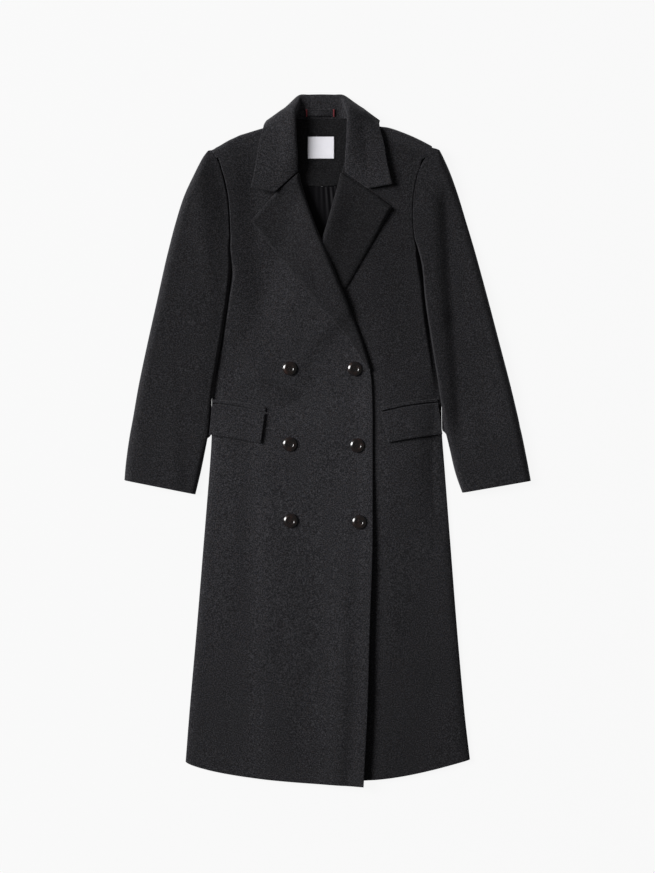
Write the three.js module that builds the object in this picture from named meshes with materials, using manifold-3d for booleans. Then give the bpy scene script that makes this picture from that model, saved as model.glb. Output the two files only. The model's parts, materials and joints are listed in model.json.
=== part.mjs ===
// A double-breasted chesterfield coat laid flat on its back, in millimetres, +Z up.
// X runs across the coat, Y from hem to collar. Z = 0 is the surface that it lies on.

import * as THREE from 'three';
import { mergeVertices } from 'three/addons/utils/BufferGeometryUtils.js';
import Module from 'manifold-3d';

// ---- driving sizes ----------------------------------------------------------------

const CLOTH = 2.4;            // wall of the coat cloth
const DOUBLE = 3.2;           // collar, lapels and flaps: two cloths pressed into one wall
const SATIN = 1.2;            // wall of the lining
const SEAM = 0.3;             // space left between two pieces that are sewn together
const PLAY = 0.2;             // more space below a piece that lies on another one
const LAYER = CLOTH + 0.5;    // a cloth and the play above it, where panels lie on each other
const SEAM_TOP = CLOTH + SEAM;        // where a front or a sleeve comes down on the back
const SKIRT_TOP = 8.4;        // upper face of the skirt
const CHEST = { rise: 10, from: 60, to: 330 };    // the chest lies higher than the skirt
const PRESSED_TOP = 5.5;      // upper face of the body's side where a sleeve lies on it
const SIDE_TURN = 11;         // reach of the soft fold at the body's side
const SLEEVE_TURN = 15;       // reach of the soft folds along a sleeve
const COLLAR_LIFT = 4.9;      // the back rises this much over the fall of the collar
const BREAK = 122;            // height at which the lapels start to roll
const MIDDLE = { x: -6, lean: -0.01 };      // the centre back line

// Where a sleeve presses the body's side: inward from its edge, and up from below the gap
const PRESS = { none: 56, full: 20, below: [-30, 20], above: [358, 400] };
// Where a sleeve comes off the surface on to the body, and off the body at the armhole
const REST = { back: [-45, -15], front: [-25, 15], armhole: [362, 400], outside: [8, 34] };

const BUTTON = { across: 26, thick: 4.4, rim: 2.6, dish: 1.5, hole: 2.3, spread: 5.2 };
const LABEL = { x: -12, y: 536, wide: 48, high: 40, thick: 1 };
const LOOP = { from: -40, to: 14, y: 599.5, wide: 12, thick: 1.4, arch: 1.6, play: 0.5 };

// ---- small tools --------------------------------------------------------------------

const { clamp, lerp, smoothstep } = THREE.MathUtils;
const smooth = (from, to, value) => smoothstep(value, from, to);

// Rows of plain numbers under named columns
function table(columns, rows) {
  return rows.map((row) => Object.fromEntries(columns.map((name, i) => [name, row[i]])));
}

// Smooth curve through four values, at a share t between the middle two
function between(p, q, r, s, t) {
  const bend = 2 * p - 5 * q + 4 * r - s;
  return q + 0.5 * t * (r - p + t * (bend + t * (3 * (q - r) + s - p)));
}

// One column of a table at a share v of its rows; straight keeps its corners
function read(rows, column, v, straight = false) {
  const place = clamp(v, 0, 1) * (rows.length - 1);
  const i = Math.min(Math.floor(place), rows.length - 2);
  const at = (k) => rows[k][column];
  const t = place - i;
  if (straight) return lerp(at(i), at(i + 1), t);
  const before = i > 0 ? at(i - 1) : 2 * at(0) - at(1);
  const after = i < rows.length - 2 ? at(i + 2) : 2 * at(i + 1) - at(i);
  return between(before, at(i), at(i + 1), after, t);
}

// The share of a table's rows at which its key column reaches a value
function shareAt(rows, key, value) {
  const rising = rows[rows.length - 1][key] > rows[0][key];
  const beyond = (row) => (rising ? row[key] > value : row[key] < value);
  const next = rows.findIndex(beyond);
  if (next === 0) return 0;
  if (next < 0) return 1;
  const low = rows[next - 1][key];
  return (next - 1 + (value - low) / (rows[next][key] - low)) / (rows.length - 1);
}

const lookUp = (rows, key, column, value) => read(rows, column, shareAt(rows, key, value));

// ---- outlines -----------------------------------------------------------------------

// Sides of the body from the hem up to the underarm, then the armholes up to the shoulder
const BODY = table(['y', 'left', 'right'], [
  [-589, -260.5, 261.5],
  [-493, -253, 251],
  [-347, -240.3, 238],
  [-200, -228.3, 226.5],
  [-54, -216.5, 215.3],
  [12, -212.5, 210.3],
  [60, -212.3, 209.3],
  [120, -212, 209],
  [170, -213, 210.5],
  [220, -214, 212],
  [253, -215, 213],
  [286, -216, 214],
  [322, -188, 180],
  [356, -177.9, 162],
  [400, -178.2, 156],
  [447, -181.7, 157],
  [489, -191, 165.5],
  [517, -203.5, 181.2],
]);

// The armhole seam goes on over the shoulder
const ARMHOLE_TOP = table(['y', 'left', 'right'], [
  [517, -203.5, 181.2],
  [524, -207.6, 186],
  [531, -211.9, 190.9],
]);

// The back's armholes lie further out than the fronts'
const BACK_BODY = table(['y', 'left', 'right'], [
  [-584, -259, 260],
  [-493, -252.5, 250.5],
  [-347, -239.8, 237.5],
  [-200, -227.8, 226],
  [-54, -216, 214.8],
  [12, -212, 209.8],
  [120, -211.5, 208.5],
  [220, -213.5, 211.5],
  [286, -215.5, 213.5],
  [322, -203, 200],
  [356, -190, 180],
  [400, -187, 172],
  [447, -191, 171],
  [489, -199, 179],
  [527, -203.5, 189.5],
]);

// Front edge: each row pairs a height on the side with a point of the edge; above the
// break the edge runs up the roll line and, past the gorge, round the neck
const OVER_EDGE = table(['side', 'x', 'y'], [
  [-589, 66, -634.3],
  [-493, 73.5, -490],
  [-347, 77.5, -347],
  [-200, 82.5, -200],
  [-54, 83, -54],
  [12, 83, 12],
  [60, 82.7, 61],
  [120, 79, 122],
  [170, 63, 170],
  [220, 45, 217],
  [253, 32, 250],
  [286, 19, 283],
  [322, 0, 330],
  [356, -16, 370],
  [400, -31, 410],
  [447, -46, 452],
  [489, -56, 500],
  [517, -73, 572],
]);

const UNDER_EDGE = table(['side', 'x', 'y'], [
  [-585, -96, -612],
  [-493, -99, -490],
  [-347, -99, -347],
  [-200, -99, -200],
  [-54, -99, -54],
  [12, -99, 12],
  [60, -99, 61],
  [120, -95, 122],
  [170, -81, 170],
  [220, -66, 217],
  [253, -53, 250],
  [286, -40, 283],
  [322, -21, 330],
  [356, -5, 370],
  [400, 7, 410],
  [447, 17, 452],
  [489, 29, 500],
  [517, 51, 572],
]);

// Lapels: the roll line, and the outer edge up to the tip and in along the gorge
const OVER_LAPEL = table(['rollX', 'rollY', 'edgeX', 'edgeY'], [
  [79.5, 128, 71, 133],
  [63, 184, 38, 187],
  [35, 257, -19, 250],
  [17, 300, -64, 305],
  [-4, 352, -110, 362],
  [-18, 385, -141, 402],
  [-34, 428, -118, 428],
  [-46, 466, -96, 453],
  [-51.5, 489, -60, 483.5],
]);

const UNDER_LAPEL = table(['rollX', 'rollY', 'edgeX', 'edgeY'], [
  [-96, 128, -87, 133],
  [-82, 184, -50, 187],
  [-55, 257, 6, 243],
  [-35, 305, 36, 281],
  [-17, 352, 79, 355],
  [-3, 392, 118, 426],
  [9, 434, 94, 444],
  [18, 466, 71, 460],
  [23.5, 489, 32, 484],
]);

// Sleeves: inner and outer edge, how much higher the row ends outside, and the top face
const SLEEVE_COLUMNS = ['y', 'inner', 'outer', 'tilt', 'crown'];
const LEFT_SLEEVE = table(SLEEVE_COLUMNS, [
  [532, -212.9, -219, -1, 10],
  [517, -203.8, -229.5, 0, 16],
  [489, -191.3, -244, 0, 19.5],
  [447, -182, -263.3, 0, 21],
  [400, -178.5, -278.3, 0, 22],
  [356, -178.4, -289.9, 0, 22],
  [317, -176.5, -299.3, 0, 22],
  [256, -183, -312.7, 0, 21.5],
  [184, -194, -328.8, 0, 20.5],
  [105, -208, -345.5, 0, 19],
  [45, -214.5, -356, 0, 17],
  [22, -216.3, -360, 1.5, 16.5],
  [8, -218.6, -362.3, 3, 16.2],
  [-17, -223.6, -365.8, 6, 16],
  [-60, -232.6, -370, 16, 15.5],
  [-99, -242, -372.5, 26, 15],
]);
const RIGHT_SLEEVE = table(SLEEVE_COLUMNS, [
  [532, 192, 203, -1, 10],
  [517, 181.5, 213.2, 0, 16],
  [489, 165.8, 225.6, 0, 19.5],
  [447, 157.3, 240.4, 0, 21],
  [400, 156.3, 254.6, 0, 22],
  [356, 163.2, 267.8, 0, 22],
  [317, 171.5, 278.7, 0, 22],
  [256, 177, 295.2, 0, 21.5],
  [184, 188, 314, 0, 20.5],
  [105, 201, 334.6, 0, 19],
  [45, 211, 349, 0, 17],
  [22, 214, 353.5, 1.5, 16.5],
  [8, 217.8, 356.5, 3, 16.2],
  [-17, 224, 361, 6, 16],
  [-60, 234.4, 367.5, 16, 15.5],
  [-96, 247, 373, 22, 15],
]);

// Shoulders: the ridge where the coat turns over to the back, and the seam in front of it
const SHOULDER = table(['x', 'ridge', 'seam'], [
  [-206, 537.5, 516],
  [-182, 549, 528],
  [-160, 559.5, 536.5],
  [-117, 572, 553],
  [-73, 582, 571],
  [-60, 584, 577],
  [40, 584, 577],
  [51, 582, 571],
  [95, 575, 554],
  [112, 572.5, 548.7],
  [140, 563.3, 540],
  [166, 552, 530.5],
  [193, 538, 520],
]);

// Collar, from the gorge round to the centre back: stand, crest, and fall to its outer
// edge; fuller is how much further out the other side's fall reaches
const COLLAR_POINTS = ['seam', 'stand', 'crest', 'crown', 'bend', 'edge'];
const COLLAR = table([...COLLAR_POINTS, 'fuller'], [
  [[-56, 490, 18.9], [-54, 491, 20.2], [-53.5, 491, 22],
    [-58, 487.5, 23.6], [-96, 454, 22.9], [-140, 462, 22.7], 0],
  [[-61, 520, 18.9], [-56, 519, 24], [-54, 518, 28],
    [-59, 517, 31], [-95, 500, 25.5], [-131.5, 503, 23], 0],
  [[-67, 548, 18.9], [-59, 547, 26], [-56, 547, 31.5],
    [-61, 547, 34.5], [-92, 542, 27.5], [-126, 540, 23.4], 0],
  [[-73, 574, 18.9], [-62, 576, 27], [-57, 577, 33],
    [-62, 578, 36], [-91, 577, 28.5], [-119, 568, 23.5], 0],
  [[-68, 584, 17], [-61, 592, 25], [-57, 598, 32],
    [-61, 601, 34.5], [-89, 598, 24], [-116, 580, 13], 1.5],
  [[-57, 587, 12], [-54, 600, 17.5], [-53, 618, 22],
    [-58, 621, 20], [-82, 607, 9], [-109, 586, 1], 8],
  [[-46, 587, 9.6], [-46, 606, 13.5], [-49, 631, 13],
    [-54, 632, 4.6], [-68, 614, 0.2], [-90, 566, 0], 5],
  [[-32, 587, 9.6], [-32, 608, 13.5], [-33, 633, 9],
    [-34, 632, 1.6], [-38, 605, 0], [-46, 554, 0], 0],
  [[-11, 587, 9.6], [-11, 608, 13.5], [-11, 633.8, 8.6],
    [-11, 631, 1.4], [-11, 604, 0], [-11, 553, 0], 0],
]);
const COLLAR_MIDDLE = -11;      // the collar is mirrored about this X
// The under side's collar end and tip lie this much higher, over this share of the stations
const GORGE = { lift: 6, share: 0.25 };

// ---- heights of the laid coat ---------------------------------------------------------

const innerLine = (rows, y) => lookUp(rows, 'y', 'inner', y);
const middleOf = (y) => MIDDLE.x + MIDDLE.lean * y;

// Share by which a sleeve presses the body's side flat
function pressed(x, y) {
  const rows = x < middleOf(y) ? LEFT_SLEEVE : RIGHT_SLEEVE;
  const inward = Math.abs(innerLine(rows, y) - middleOf(y)) - Math.abs(x - middleOf(y));
  return (1 - smooth(PRESS.full, PRESS.none, inward))
    * smooth(...PRESS.below, y) * (1 - smooth(...PRESS.above, y));
}

// Upper face of a front that lies straight on the back
function skin(x, y) {
  const open = SKIRT_TOP + CHEST.rise * smooth(CHEST.from, CHEST.to, y);
  return lerp(open, PRESSED_TOP, pressed(x, y));
}

// How the over front climbs from beside a layer that it hides to the top of it
const LIFT = { from: 75, to: 30, past: 25, gone: 70, low: 85, tip: 420, play: 1.2 };

// Share by which the under lapel lifts the over front that covers it
function overLapel(x, y) {
  const roll = lookUp(UNDER_LAPEL, 'rollY', 'rollX', y);
  const edge = lookUp(UNDER_LAPEL, 'edgeY', 'edgeX', Math.min(y, LIFT.tip));
  const across = smooth(roll - LIFT.from, roll - LIFT.to, x)
    * (1 - smooth(edge + LIFT.past, edge + LIFT.gone, x));
  return across * smooth(LIFT.low, BREAK, y);
}

// Upper face of the over front
function overSkin(x, y) {
  const hidden = lookUp(UNDER_EDGE, 'y', 'x', y);
  const lapped = smooth(hidden - LIFT.from, hidden - LIFT.to, x);
  return skin(x, y) + LAYER * lapped + (DOUBLE + LIFT.play) * overLapel(x, y);
}

// Lower face of the back: on the surface, but over the fall of the collar
function backLift(x, y) {
  const wide = 1 - smooth(100, 150, Math.abs(x - COLLAR_MIDDLE));
  return COLLAR_LIFT * wide * smooth(420, 548, y);
}

// What a sleeve lies on: the body's side, then the back's armhole, then nothing
function sleeveRest(x, y, side) {
  const inRange = clamp(y, BACK_BODY[0].y, BACK_BODY[BACK_BODY.length - 1].y);
  const edge = lookUp(BACK_BODY, 'y', side < 0 ? 'left' : 'right', inRange);
  const onFront = (1 - smooth(...REST.armhole, y)) * smooth(...REST.front, y);
  const under = lerp(CLOTH, PRESSED_TOP, onFront) + 2 * PLAY;
  const lifted = under * smooth(...REST.back, y);
  return lifted * (1 - smooth(...REST.outside, (x - edge) * side));
}

// ---- walls ------------------------------------------------------------------------------

const wasm = await Module();
wasm.setup();

// The grid's upright direction at each of its points
function gridNormal(points, i, j) {
  const row = (k) => points[clamp(k, 0, points.length - 1)];
  const spot = (k, l) => row(k)[clamp(l, 0, row(k).length - 1)];
  const across = spot(i, j + 1).clone().sub(spot(i, j - 1));
  const along = spot(i + 1, j).clone().sub(spot(i - 1, j));
  return across.cross(along).normalize();
}

// The rows of a grid from one to another, drawn in by a seam's gap where they meet the next
function slice(points, first, last) {
  const rows = points.slice(first, last + 1).map((row) => row.map((p) => p.clone()));
  if (first > 0) {
    rows[0].forEach((p, j) => p.lerp(rows[1][j], SEAM / p.distanceTo(rows[1][j])));
  }
  return rows;
}

// A closed wall between a grid of points and the same grid moved by the wall's thickness,
// whose inside stays above a floor
function wall(whole, thick, floor = () => -Infinity, span = [0, whole.length - 1]) {
  const inside = whole.map((row, i) => row.map((p, j) => {
    const inner = p.clone().addScaledVector(gridNormal(whole, i, j), -thick);
    inner.z = Math.max(inner.z, floor(p));
    return inner;
  }));
  const points = slice(whole, ...span);
  const moved = slice(inside, ...span);
  const rows = points.length;
  const cols = points[0].length;
  const corners = [...points.flat(), ...moved.flat()];
  const top = (i, j) => i * cols + j;
  const low = (i, j) => rows * cols + top(i, j);
  const faces = [];
  const quad = (a, b, c, d) => faces.push(a, b, c, a, c, d);
  for (let i = 0; i < rows - 1; i += 1) {
    for (let j = 0; j < cols - 1; j += 1) {
      quad(top(i, j), top(i, j + 1), top(i + 1, j + 1), top(i + 1, j));
      quad(low(i, j), low(i + 1, j), low(i + 1, j + 1), low(i, j + 1));
    }
  }
  for (let j = 0; j < cols - 1; j += 1) {
    quad(top(0, j + 1), top(0, j), low(0, j), low(0, j + 1));
    quad(top(rows - 1, j), top(rows - 1, j + 1), low(rows - 1, j + 1), low(rows - 1, j));
  }
  for (let i = 0; i < rows - 1; i += 1) {
    quad(top(i, 0), top(i + 1, 0), low(i + 1, 0), low(i, 0));
    quad(top(i + 1, cols - 1), top(i, cols - 1), low(i, cols - 1), low(i + 1, cols - 1));
  }
  const geometry = new THREE.BufferGeometry();
  const numbers = corners.flatMap((p) => p.toArray());
  geometry.setAttribute('position', new THREE.Float32BufferAttribute(numbers, 3));
  geometry.setIndex(signedVolume(corners, faces) < 0 ? faces.reverse() : faces);
  return geometry;
}

function signedVolume(corners, faces) {
  let sum = 0;
  for (let k = 0; k < faces.length; k += 3) {
    const [a, b, c] = [corners[faces[k]], corners[faces[k + 1]], corners[faces[k + 2]]];
    sum += a.dot(b.clone().cross(c));
  }
  return sum / 6;
}

// Height of a grid's face at a place, on its own triangles; a place off the grid has none
function faceOf(points) {
  const triangles = [];
  for (let i = 0; i < points.length - 1; i += 1) {
    for (let j = 0; j < points[0].length - 1; j += 1) {
      const [a, b, c, d] = [points[i][j], points[i][j + 1], points[i + 1][j + 1], points[i + 1][j]];
      triangles.push(new THREE.Triangle(a, b, c), new THREE.Triangle(a, c, d));
    }
  }
  const flat = (p) => new THREE.Vector3(p.x, p.y, 0);
  const plans = triangles.map(({ a, b, c }) => new THREE.Triangle(flat(a), flat(b), flat(c)));
  return (x, y) => {
    const place = new THREE.Vector3(x, y, 0);
    const found = plans.findIndex((plan) => plan.getArea() > 1e-3 && plan.containsPoint(place));
    if (found < 0) return undefined;
    const share = plans[found].getBarycoord(place, new THREE.Vector3());
    const { a, b, c } = triangles[found];
    return a.z * share.x + b.z * share.y + c.z * share.z;
  };
}

// Places across a laid piece: a quarter turn at either end, and even steps between them
function spotsAcross(startSteps, middleSteps, endSteps) {
  const turn = (k, steps) => {
    const angle = (k / steps) * Math.PI / 2;
    return { reach: 1 - Math.cos(angle), rise: Math.sin(angle) };
  };
  const spots = [];
  for (let k = 0; k < startSteps; k += 1) spots.push({ end: 'start', ...turn(k, startSteps) });
  for (let k = 0; k <= middleSteps; k += 1) spots.push({ end: 'middle', share: k / middleSteps, rise: 1 });
  for (let k = endSteps - 1; k >= 0; k -= 1) spots.push({ end: 'end', ...turn(k, endSteps) });
  return spots;
}

// A piece laid in rows from a start to an end, which turns down at the ends that have steps
function laidGrid({ rows, steps, row, height, bend = () => 0, spread = 1 }) {
  const spots = spotsAcross(...steps);
  return Array.from({ length: rows + 1 }, (_, i) => {
    const { start, end, startTurn = 0, endTurn = 0, startLow = 0, endLow = 0 } = row(i / rows);
    const span = end.distanceTo(start);
    return spots.map((spot) => {
      const turned = { start: startTurn * spot.reach, end: span - endTurn * spot.reach };
      const inside = startTurn + spot.share ** spread * (span - startTurn - endTurn);
      const far = (spot.end === 'middle' ? inside : turned[spot.end]) / span;
      const place = start.clone().lerp(end, far);
      place.y += bend(far, i / rows, place);
      const low = spot.end === 'end' ? endLow : startLow;
      return new THREE.Vector3(place.x, place.y, lerp(low, height(place.x, place.y, i / rows), spot.rise));
    });
  });
}

// ---- materials ----------------------------------------------------------------------------

const coatCloth = () => new THREE.MeshStandardMaterial({ color: 0x2a2a2c, roughness: 0.95 });
const satin = () => new THREE.MeshStandardMaterial({ color: 0x1b1b1d, roughness: 0.5 });
const patch = () => new THREE.MeshStandardMaterial({ color: 0xe2e2e6, roughness: 0.8 });
const horn = () => new THREE.MeshStandardMaterial({ color: 0x1c1716, roughness: 0.3 });

const coat = new THREE.Group();
function add(name, geometry, material) {
  const mesh = new THREE.Mesh(geometry, material);
  mesh.name = name;
  coat.add(mesh);
  return mesh;
}

// ---- fronts -----------------------------------------------------------------------------------

const FRONT_ROWS = BODY.length - 1;
const point = (x, y) => new THREE.Vector2(x, y);

// The side of a front turns down on the back; at the armhole it dips a little into the seam
const ARMHOLE = { from: 286, to: 350, dip: 1.2 };
function sideLow(x, y) {
  return lerp(SEAM_TOP, skin(x, y) - ARMHOLE.dip, smooth(ARMHOLE.from, ARMHOLE.to, y));
}

// A front's hem hangs in a curve, and its top edge follows the shoulder seam. Each hem has its
// drop, how far its lowest point lies towards the side, and the share of the rows that it bends
const HEM = { over: 12.3, overLean: 0.65, under: 24, share: 0.09, top: 0.95 };
function frontBend(drop, v, place) {
  const seamY = lookUp(SHOULDER, 'x', 'seam', place.x) - SEAM;
  const hem = -drop * (1 - smooth(0, HEM.share, v));
  return hem + (seamY - place.y) * smooth(HEM.top, 1, v);
}

function overFrontGrid() {
  return laidGrid({
    rows: FRONT_ROWS,
    steps: [3, 12, 0],
    height: overSkin,
    bend: (u, v, place) => frontBend(HEM.over * Math.sin(Math.PI * u ** HEM.overLean), v, place),
    row: (v) => {
      const y = read(OVER_EDGE, 'side', v);
      const x = read(BODY, 'left', v);
      const edge = point(read(OVER_EDGE, 'x', v), read(OVER_EDGE, 'y', v));
      return { start: point(x, y), end: edge, startTurn: SIDE_TURN, startLow: sideLow(x, y) };
    },
  });
}

function underFrontGrid() {
  return laidGrid({
    rows: FRONT_ROWS,
    steps: [0, 10, 3],
    height: skin,
    bend: (u, v, place) => frontBend(HEM.under * Math.sin(Math.PI * u), v, place),
    row: (v) => {
      const y = read(UNDER_EDGE, 'side', v);
      const x = read(BODY, 'right', v);
      const edge = point(read(UNDER_EDGE, 'x', v), read(UNDER_EDGE, 'y', v));
      return { start: edge, end: point(x, y), endTurn: SIDE_TURN, endLow: sideLow(x, y) };
    },
  });
}

const underGrid = underFrontGrid();
const overGrid = overFrontGrid();

// Each front is cut whole. Three solids carry it, so that the space below the chest stays open
const FRONT_SLICES = { skirt: [0, 6], waist: [6, 13], chest: [13, FRONT_ROWS] };
for (const [part, span] of Object.entries(FRONT_SLICES)) {
  for (const [side, grid] of Object.entries({ under: underGrid, over: overGrid })) {
    add(`front_${side}_${part}`, wall(grid, CLOTH, () => SEAM_TOP, span), coatCloth());
  }
}

const underFace = faceOf(underGrid);
const overFace = faceOf(overGrid);
const onUnder = (x, y) => underFace(x, y) ?? skin(x, y);
const onOver = (x, y) => overFace(x, y) ?? overSkin(x, y);

// ---- lapels -----------------------------------------------------------------------------------

// The lapel folds over the front's edge at the roll line and lies on the front
const LAPEL = { rows: 16, roll: 5, rollShare: 1 / 3, edge: 1.5, edgeShare: 1 / 6, edgeDip: 0.5 };
const LAPEL_PLAY = { under: 0.5, over: 1.3 };
function lapel(rows, under, side, play) {
  const top = (x, y) => under(x, y) + DOUBLE + play;
  const grid = laidGrid({
    rows: LAPEL.rows,
    steps: side < 0 ? [1, 4, 2] : [2, 4, 1],
    height: top,
    row: (v) => {
      const roll = point(read(rows, 'rollX', v), read(rows, 'rollY', v));
      const edge = point(read(rows, 'edgeX', v, true), read(rows, 'edgeY', v, true));
      const room = edge.distanceTo(roll);
      const ends = [
        { at: roll, turn: Math.min(LAPEL.roll, room * LAPEL.rollShare), low: under(roll.x, roll.y) + play },
        { at: edge, turn: Math.min(LAPEL.edge, room * LAPEL.edgeShare), low: top(edge.x, edge.y) - LAPEL.edgeDip },
      ];
      if (side < 0) ends.reverse();
      return { start: ends[0].at, startTurn: ends[0].turn, startLow: ends[0].low,
        end: ends[1].at, endTurn: ends[1].turn, endLow: ends[1].low };
    },
  });
  return wall(grid, DOUBLE, (p) => under(p.x, p.y) + play);
}

add('lapel_under', lapel(UNDER_LAPEL, onUnder, 1, LAPEL_PLAY.under), coatCloth());
add('lapel_over', lapel(OVER_LAPEL, onOver, -1, LAPEL_PLAY.over), coatCloth());

// ---- back -------------------------------------------------------------------------------------

const BACK_ROWS = 16;         // from the hem to the start of the shoulder's turn
const TURN_ROWS = 6;          // over the shoulder ridge
const BAND_ROWS = 2;          // down the front of the shoulder to its seam
const NECK_EDGE = 586.6;
const NECK_HALF = [56, 70];   // from the centre: where the neck ends and the shoulder begins
const NECK_Y = 560;           // height at which the back's own width and lift are read there
const BACK_HEM = { centre: 35, bow: 9, share: 0.12 };      // the hem drops to the centre
const BACK_TOP = { rise: 26, from: 0.8 };                  // the last rows rise to the neck

const shoulderAt = (x, column) => lookUp(SHOULDER, 'x', column, x);

// Path of one strip of the back over the shoulder, or straight up to the neck
function overShoulder(x, k) {
  const low = backLift(x, NECK_Y);
  const high = skin(x, shoulderAt(x, 'seam')) - SEAM;
  const radius = (high - low) / 2;
  const turnY = shoulderAt(x, 'ridge') - radius;
  const shoulder = new THREE.Vector3(x, turnY, high);
  if (k <= TURN_ROWS) {
    const angle = (k / TURN_ROWS - 0.5) * Math.PI;
    shoulder.set(x, turnY + radius * Math.cos(angle), low + radius * (1 + Math.sin(angle)));
  } else {
    const share = (k - TURN_ROWS) / BAND_ROWS;
    shoulder.y = lerp(turnY, shoulderAt(x, 'seam') + SEAM, share);
  }
  const neck = new THREE.Vector3(x, lerp(turnY, NECK_EDGE, k / (TURN_ROWS + BAND_ROWS)), low);
  const away = Math.abs(x - COLLAR_MIDDLE);
  return neck.lerp(shoulder, smooth(...NECK_HALF, away));
}

function backGrid(side) {
  const columns = 7;
  const column = side < 0 ? 'left' : 'right';
  const seamX = (y) => middleOf(y) + side * SEAM / 2;
  const points = [];
  for (let i = 0; i < BACK_ROWS; i += 1) {
    const v = i / BACK_ROWS;
    const y = read(BACK_BODY, 'y', v);
    const x = read(BACK_BODY, column, v);
    points.push(Array.from({ length: columns + 1 }, (_, j) => {
      const u = j / columns;
      const hem = BACK_HEM.centre * u + BACK_HEM.bow * Math.sin(Math.PI * u);
      const rise = BACK_TOP.rise * u * smooth(BACK_TOP.from, 1, v);
      const placeX = lerp(x, seamX(y), u);
      const placeY = y - hem * (1 - smooth(0, BACK_HEM.share, v)) + rise;
      return new THREE.Vector3(placeX, placeY, backLift(placeX, placeY));
    }));
  }
  const end = BACK_BODY[BACK_BODY.length - 1][column];
  for (let k = 0; k <= TURN_ROWS + BAND_ROWS; k += 1) {
    const tip = lookUp(ARMHOLE_TOP, 'y', column, overShoulder(end, k).y);
    points.push(Array.from({ length: columns + 1 }, (_, j) =>
      overShoulder(lerp(tip, seamX(NECK_Y), j / columns), k)));
  }
  return points;
}

// Each half is cut whole. One solid carries the flat back and one the turn at the shoulder
const backGrids = { left: backGrid(-1), right: backGrid(1) };
for (const [side, grid] of Object.entries(backGrids)) {
  const thick = side === 'left' ? -CLOTH : CLOTH;
  const turn = BACK_ROWS - 1;
  const end = grid.length - 1;
  add(`back_${side}`, wall(grid, thick, undefined, [0, turn]), coatCloth());
  add(`back_${side}_shoulder`, wall(grid, thick, undefined, [turn, end]), coatCloth());
}
const backFaces = Object.values(backGrids).map(faceOf);

// ---- sleeves ----------------------------------------------------------------------------------

// Row of a sleeve's outline at a share v from the head to the cuff
function sleeveRow(rows, v) {
  const y = read(rows, 'y', v);
  return {
    inner: point(read(rows, 'inner', v), y),
    outer: point(read(rows, 'outer', v), y + read(rows, 'tilt', v)),
    crown: read(rows, 'crown', v),
  };
}

// The seam at the armhole: where it starts, how tight the turn is, and how deep the groove
const HEAD = { from: 330, to: 395, turn: 6, groove: 2.5 };
const SLEEVE_SHARE = 1 / 3;     // most of a narrow sleeve's width that one fold may take
// The under sleeve ends this far inside the top sleeve's edges, or less where it is narrow
const UNDER_SLEEVE = { inset: 1, share: 1 / 20, crowd: 1.5 };
const sleeveFloor = (side) => (p) => sleeveRest(p.x, p.y, side) + CLOTH + SEAM + PLAY;

function topSleeve(rows, side) {
  const rest = sleeveFloor(side);
  return laidGrid({
    rows: rows.length - 1,
    steps: [4, 4, 4],
    height: (x, y, v) => sleeveRow(rows, v).crown,
    row: (v) => {
      const { inner, outer, crown } = sleeveRow(rows, v);
      const span = inner.distanceTo(outer);
      const turn = Math.min(SLEEVE_TURN, span * SLEEVE_SHARE);
      const seamed = smooth(HEAD.from, HEAD.to, inner.y);
      const atArmhole = Math.max(rest(inner), crown - HEAD.groove);
      return { start: inner, startTurn: lerp(turn, Math.min(turn, HEAD.turn), seamed),
        startLow: lerp(rest(inner), atArmhole, seamed),
        end: outer, endTurn: turn, endLow: rest(outer) };
    },
  });
}

function underSleeve(rows, side) {
  const grid = laidGrid({
    rows: rows.length - 1,
    steps: [0, 7, 0],
    spread: UNDER_SLEEVE.crowd,
    height: (x, y) => sleeveRest(x, y, side) + CLOTH,
    row: (v) => {
      const { inner, outer } = sleeveRow(rows, v);
      const width = inner.distanceTo(outer);
      const inset = Math.min(UNDER_SLEEVE.inset, width * UNDER_SLEEVE.share);
      const along = outer.clone().sub(inner).normalize();
      return { start: inner.clone().addScaledVector(along, inset),
        end: outer.clone().addScaledVector(along, -inset) };
    },
  });
  return wall(grid, -side * CLOTH);
}

// A top sleeve is cut whole. Three solids carry it, so that the sleeve stays open inside
const SLEEVE_SLICES = { head: [0, 6], elbow: [6, 9], cuff: [9, LEFT_SLEEVE.length - 1] };
for (const [name, rows, side] of [['left', LEFT_SLEEVE, -1], ['right', RIGHT_SLEEVE, 1]]) {
  add(`under_sleeve_${name}`, underSleeve(rows, side), coatCloth());
  const grid = topSleeve(rows, side);
  for (const [part, span] of Object.entries(SLEEVE_SLICES)) {
    const cloth = wall(grid, -side * CLOTH, sleeveFloor(side), span);
    add(`top_sleeve_${name}_${part}`, cloth, coatCloth());
  }
}

// ---- collar -----------------------------------------------------------------------------------

// Points across one station of the collar: a smooth curve to the bend, then straight
function collarRow(station) {
  const controls = COLLAR_POINTS.map((name) => station[name].clone());
  const curve = new THREE.CatmullRomCurve3(controls.slice(0, 5), false, 'centripetal');
  const curved = Array.from({ length: 9 }, (_, k) => curve.getPoint(k / 8));
  const straight = [1, 2].map((k) => controls[4].clone().lerp(controls[5], k / 2));
  const spots = [...curved, ...straight];
  spots.forEach((spot) => { spot.z = Math.max(spot.z, 0); });
  return spots;
}

function collarStation(v, side) {
  const station = {};
  for (const name of COLLAR_POINTS) {
    const rows = COLLAR.map((row) => ({ x: row[name][0], y: row[name][1], z: row[name][2] }));
    const spot = new THREE.Vector3(...['x', 'y', 'z'].map((axis) => read(rows, axis, v)));
    if (side > 0) {
      const ending = 1 - smooth(0, GORGE.share, v);
      const outer = name === 'bend' || name === 'edge';
      spot.x = 2 * COLLAR_MIDDLE - spot.x;
      if (outer) spot.x += read(COLLAR, 'fuller', v);
      if (outer) spot.y += GORGE.lift * ending;
    }
    station[name] = spot;
  }
  return station;
}

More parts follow.
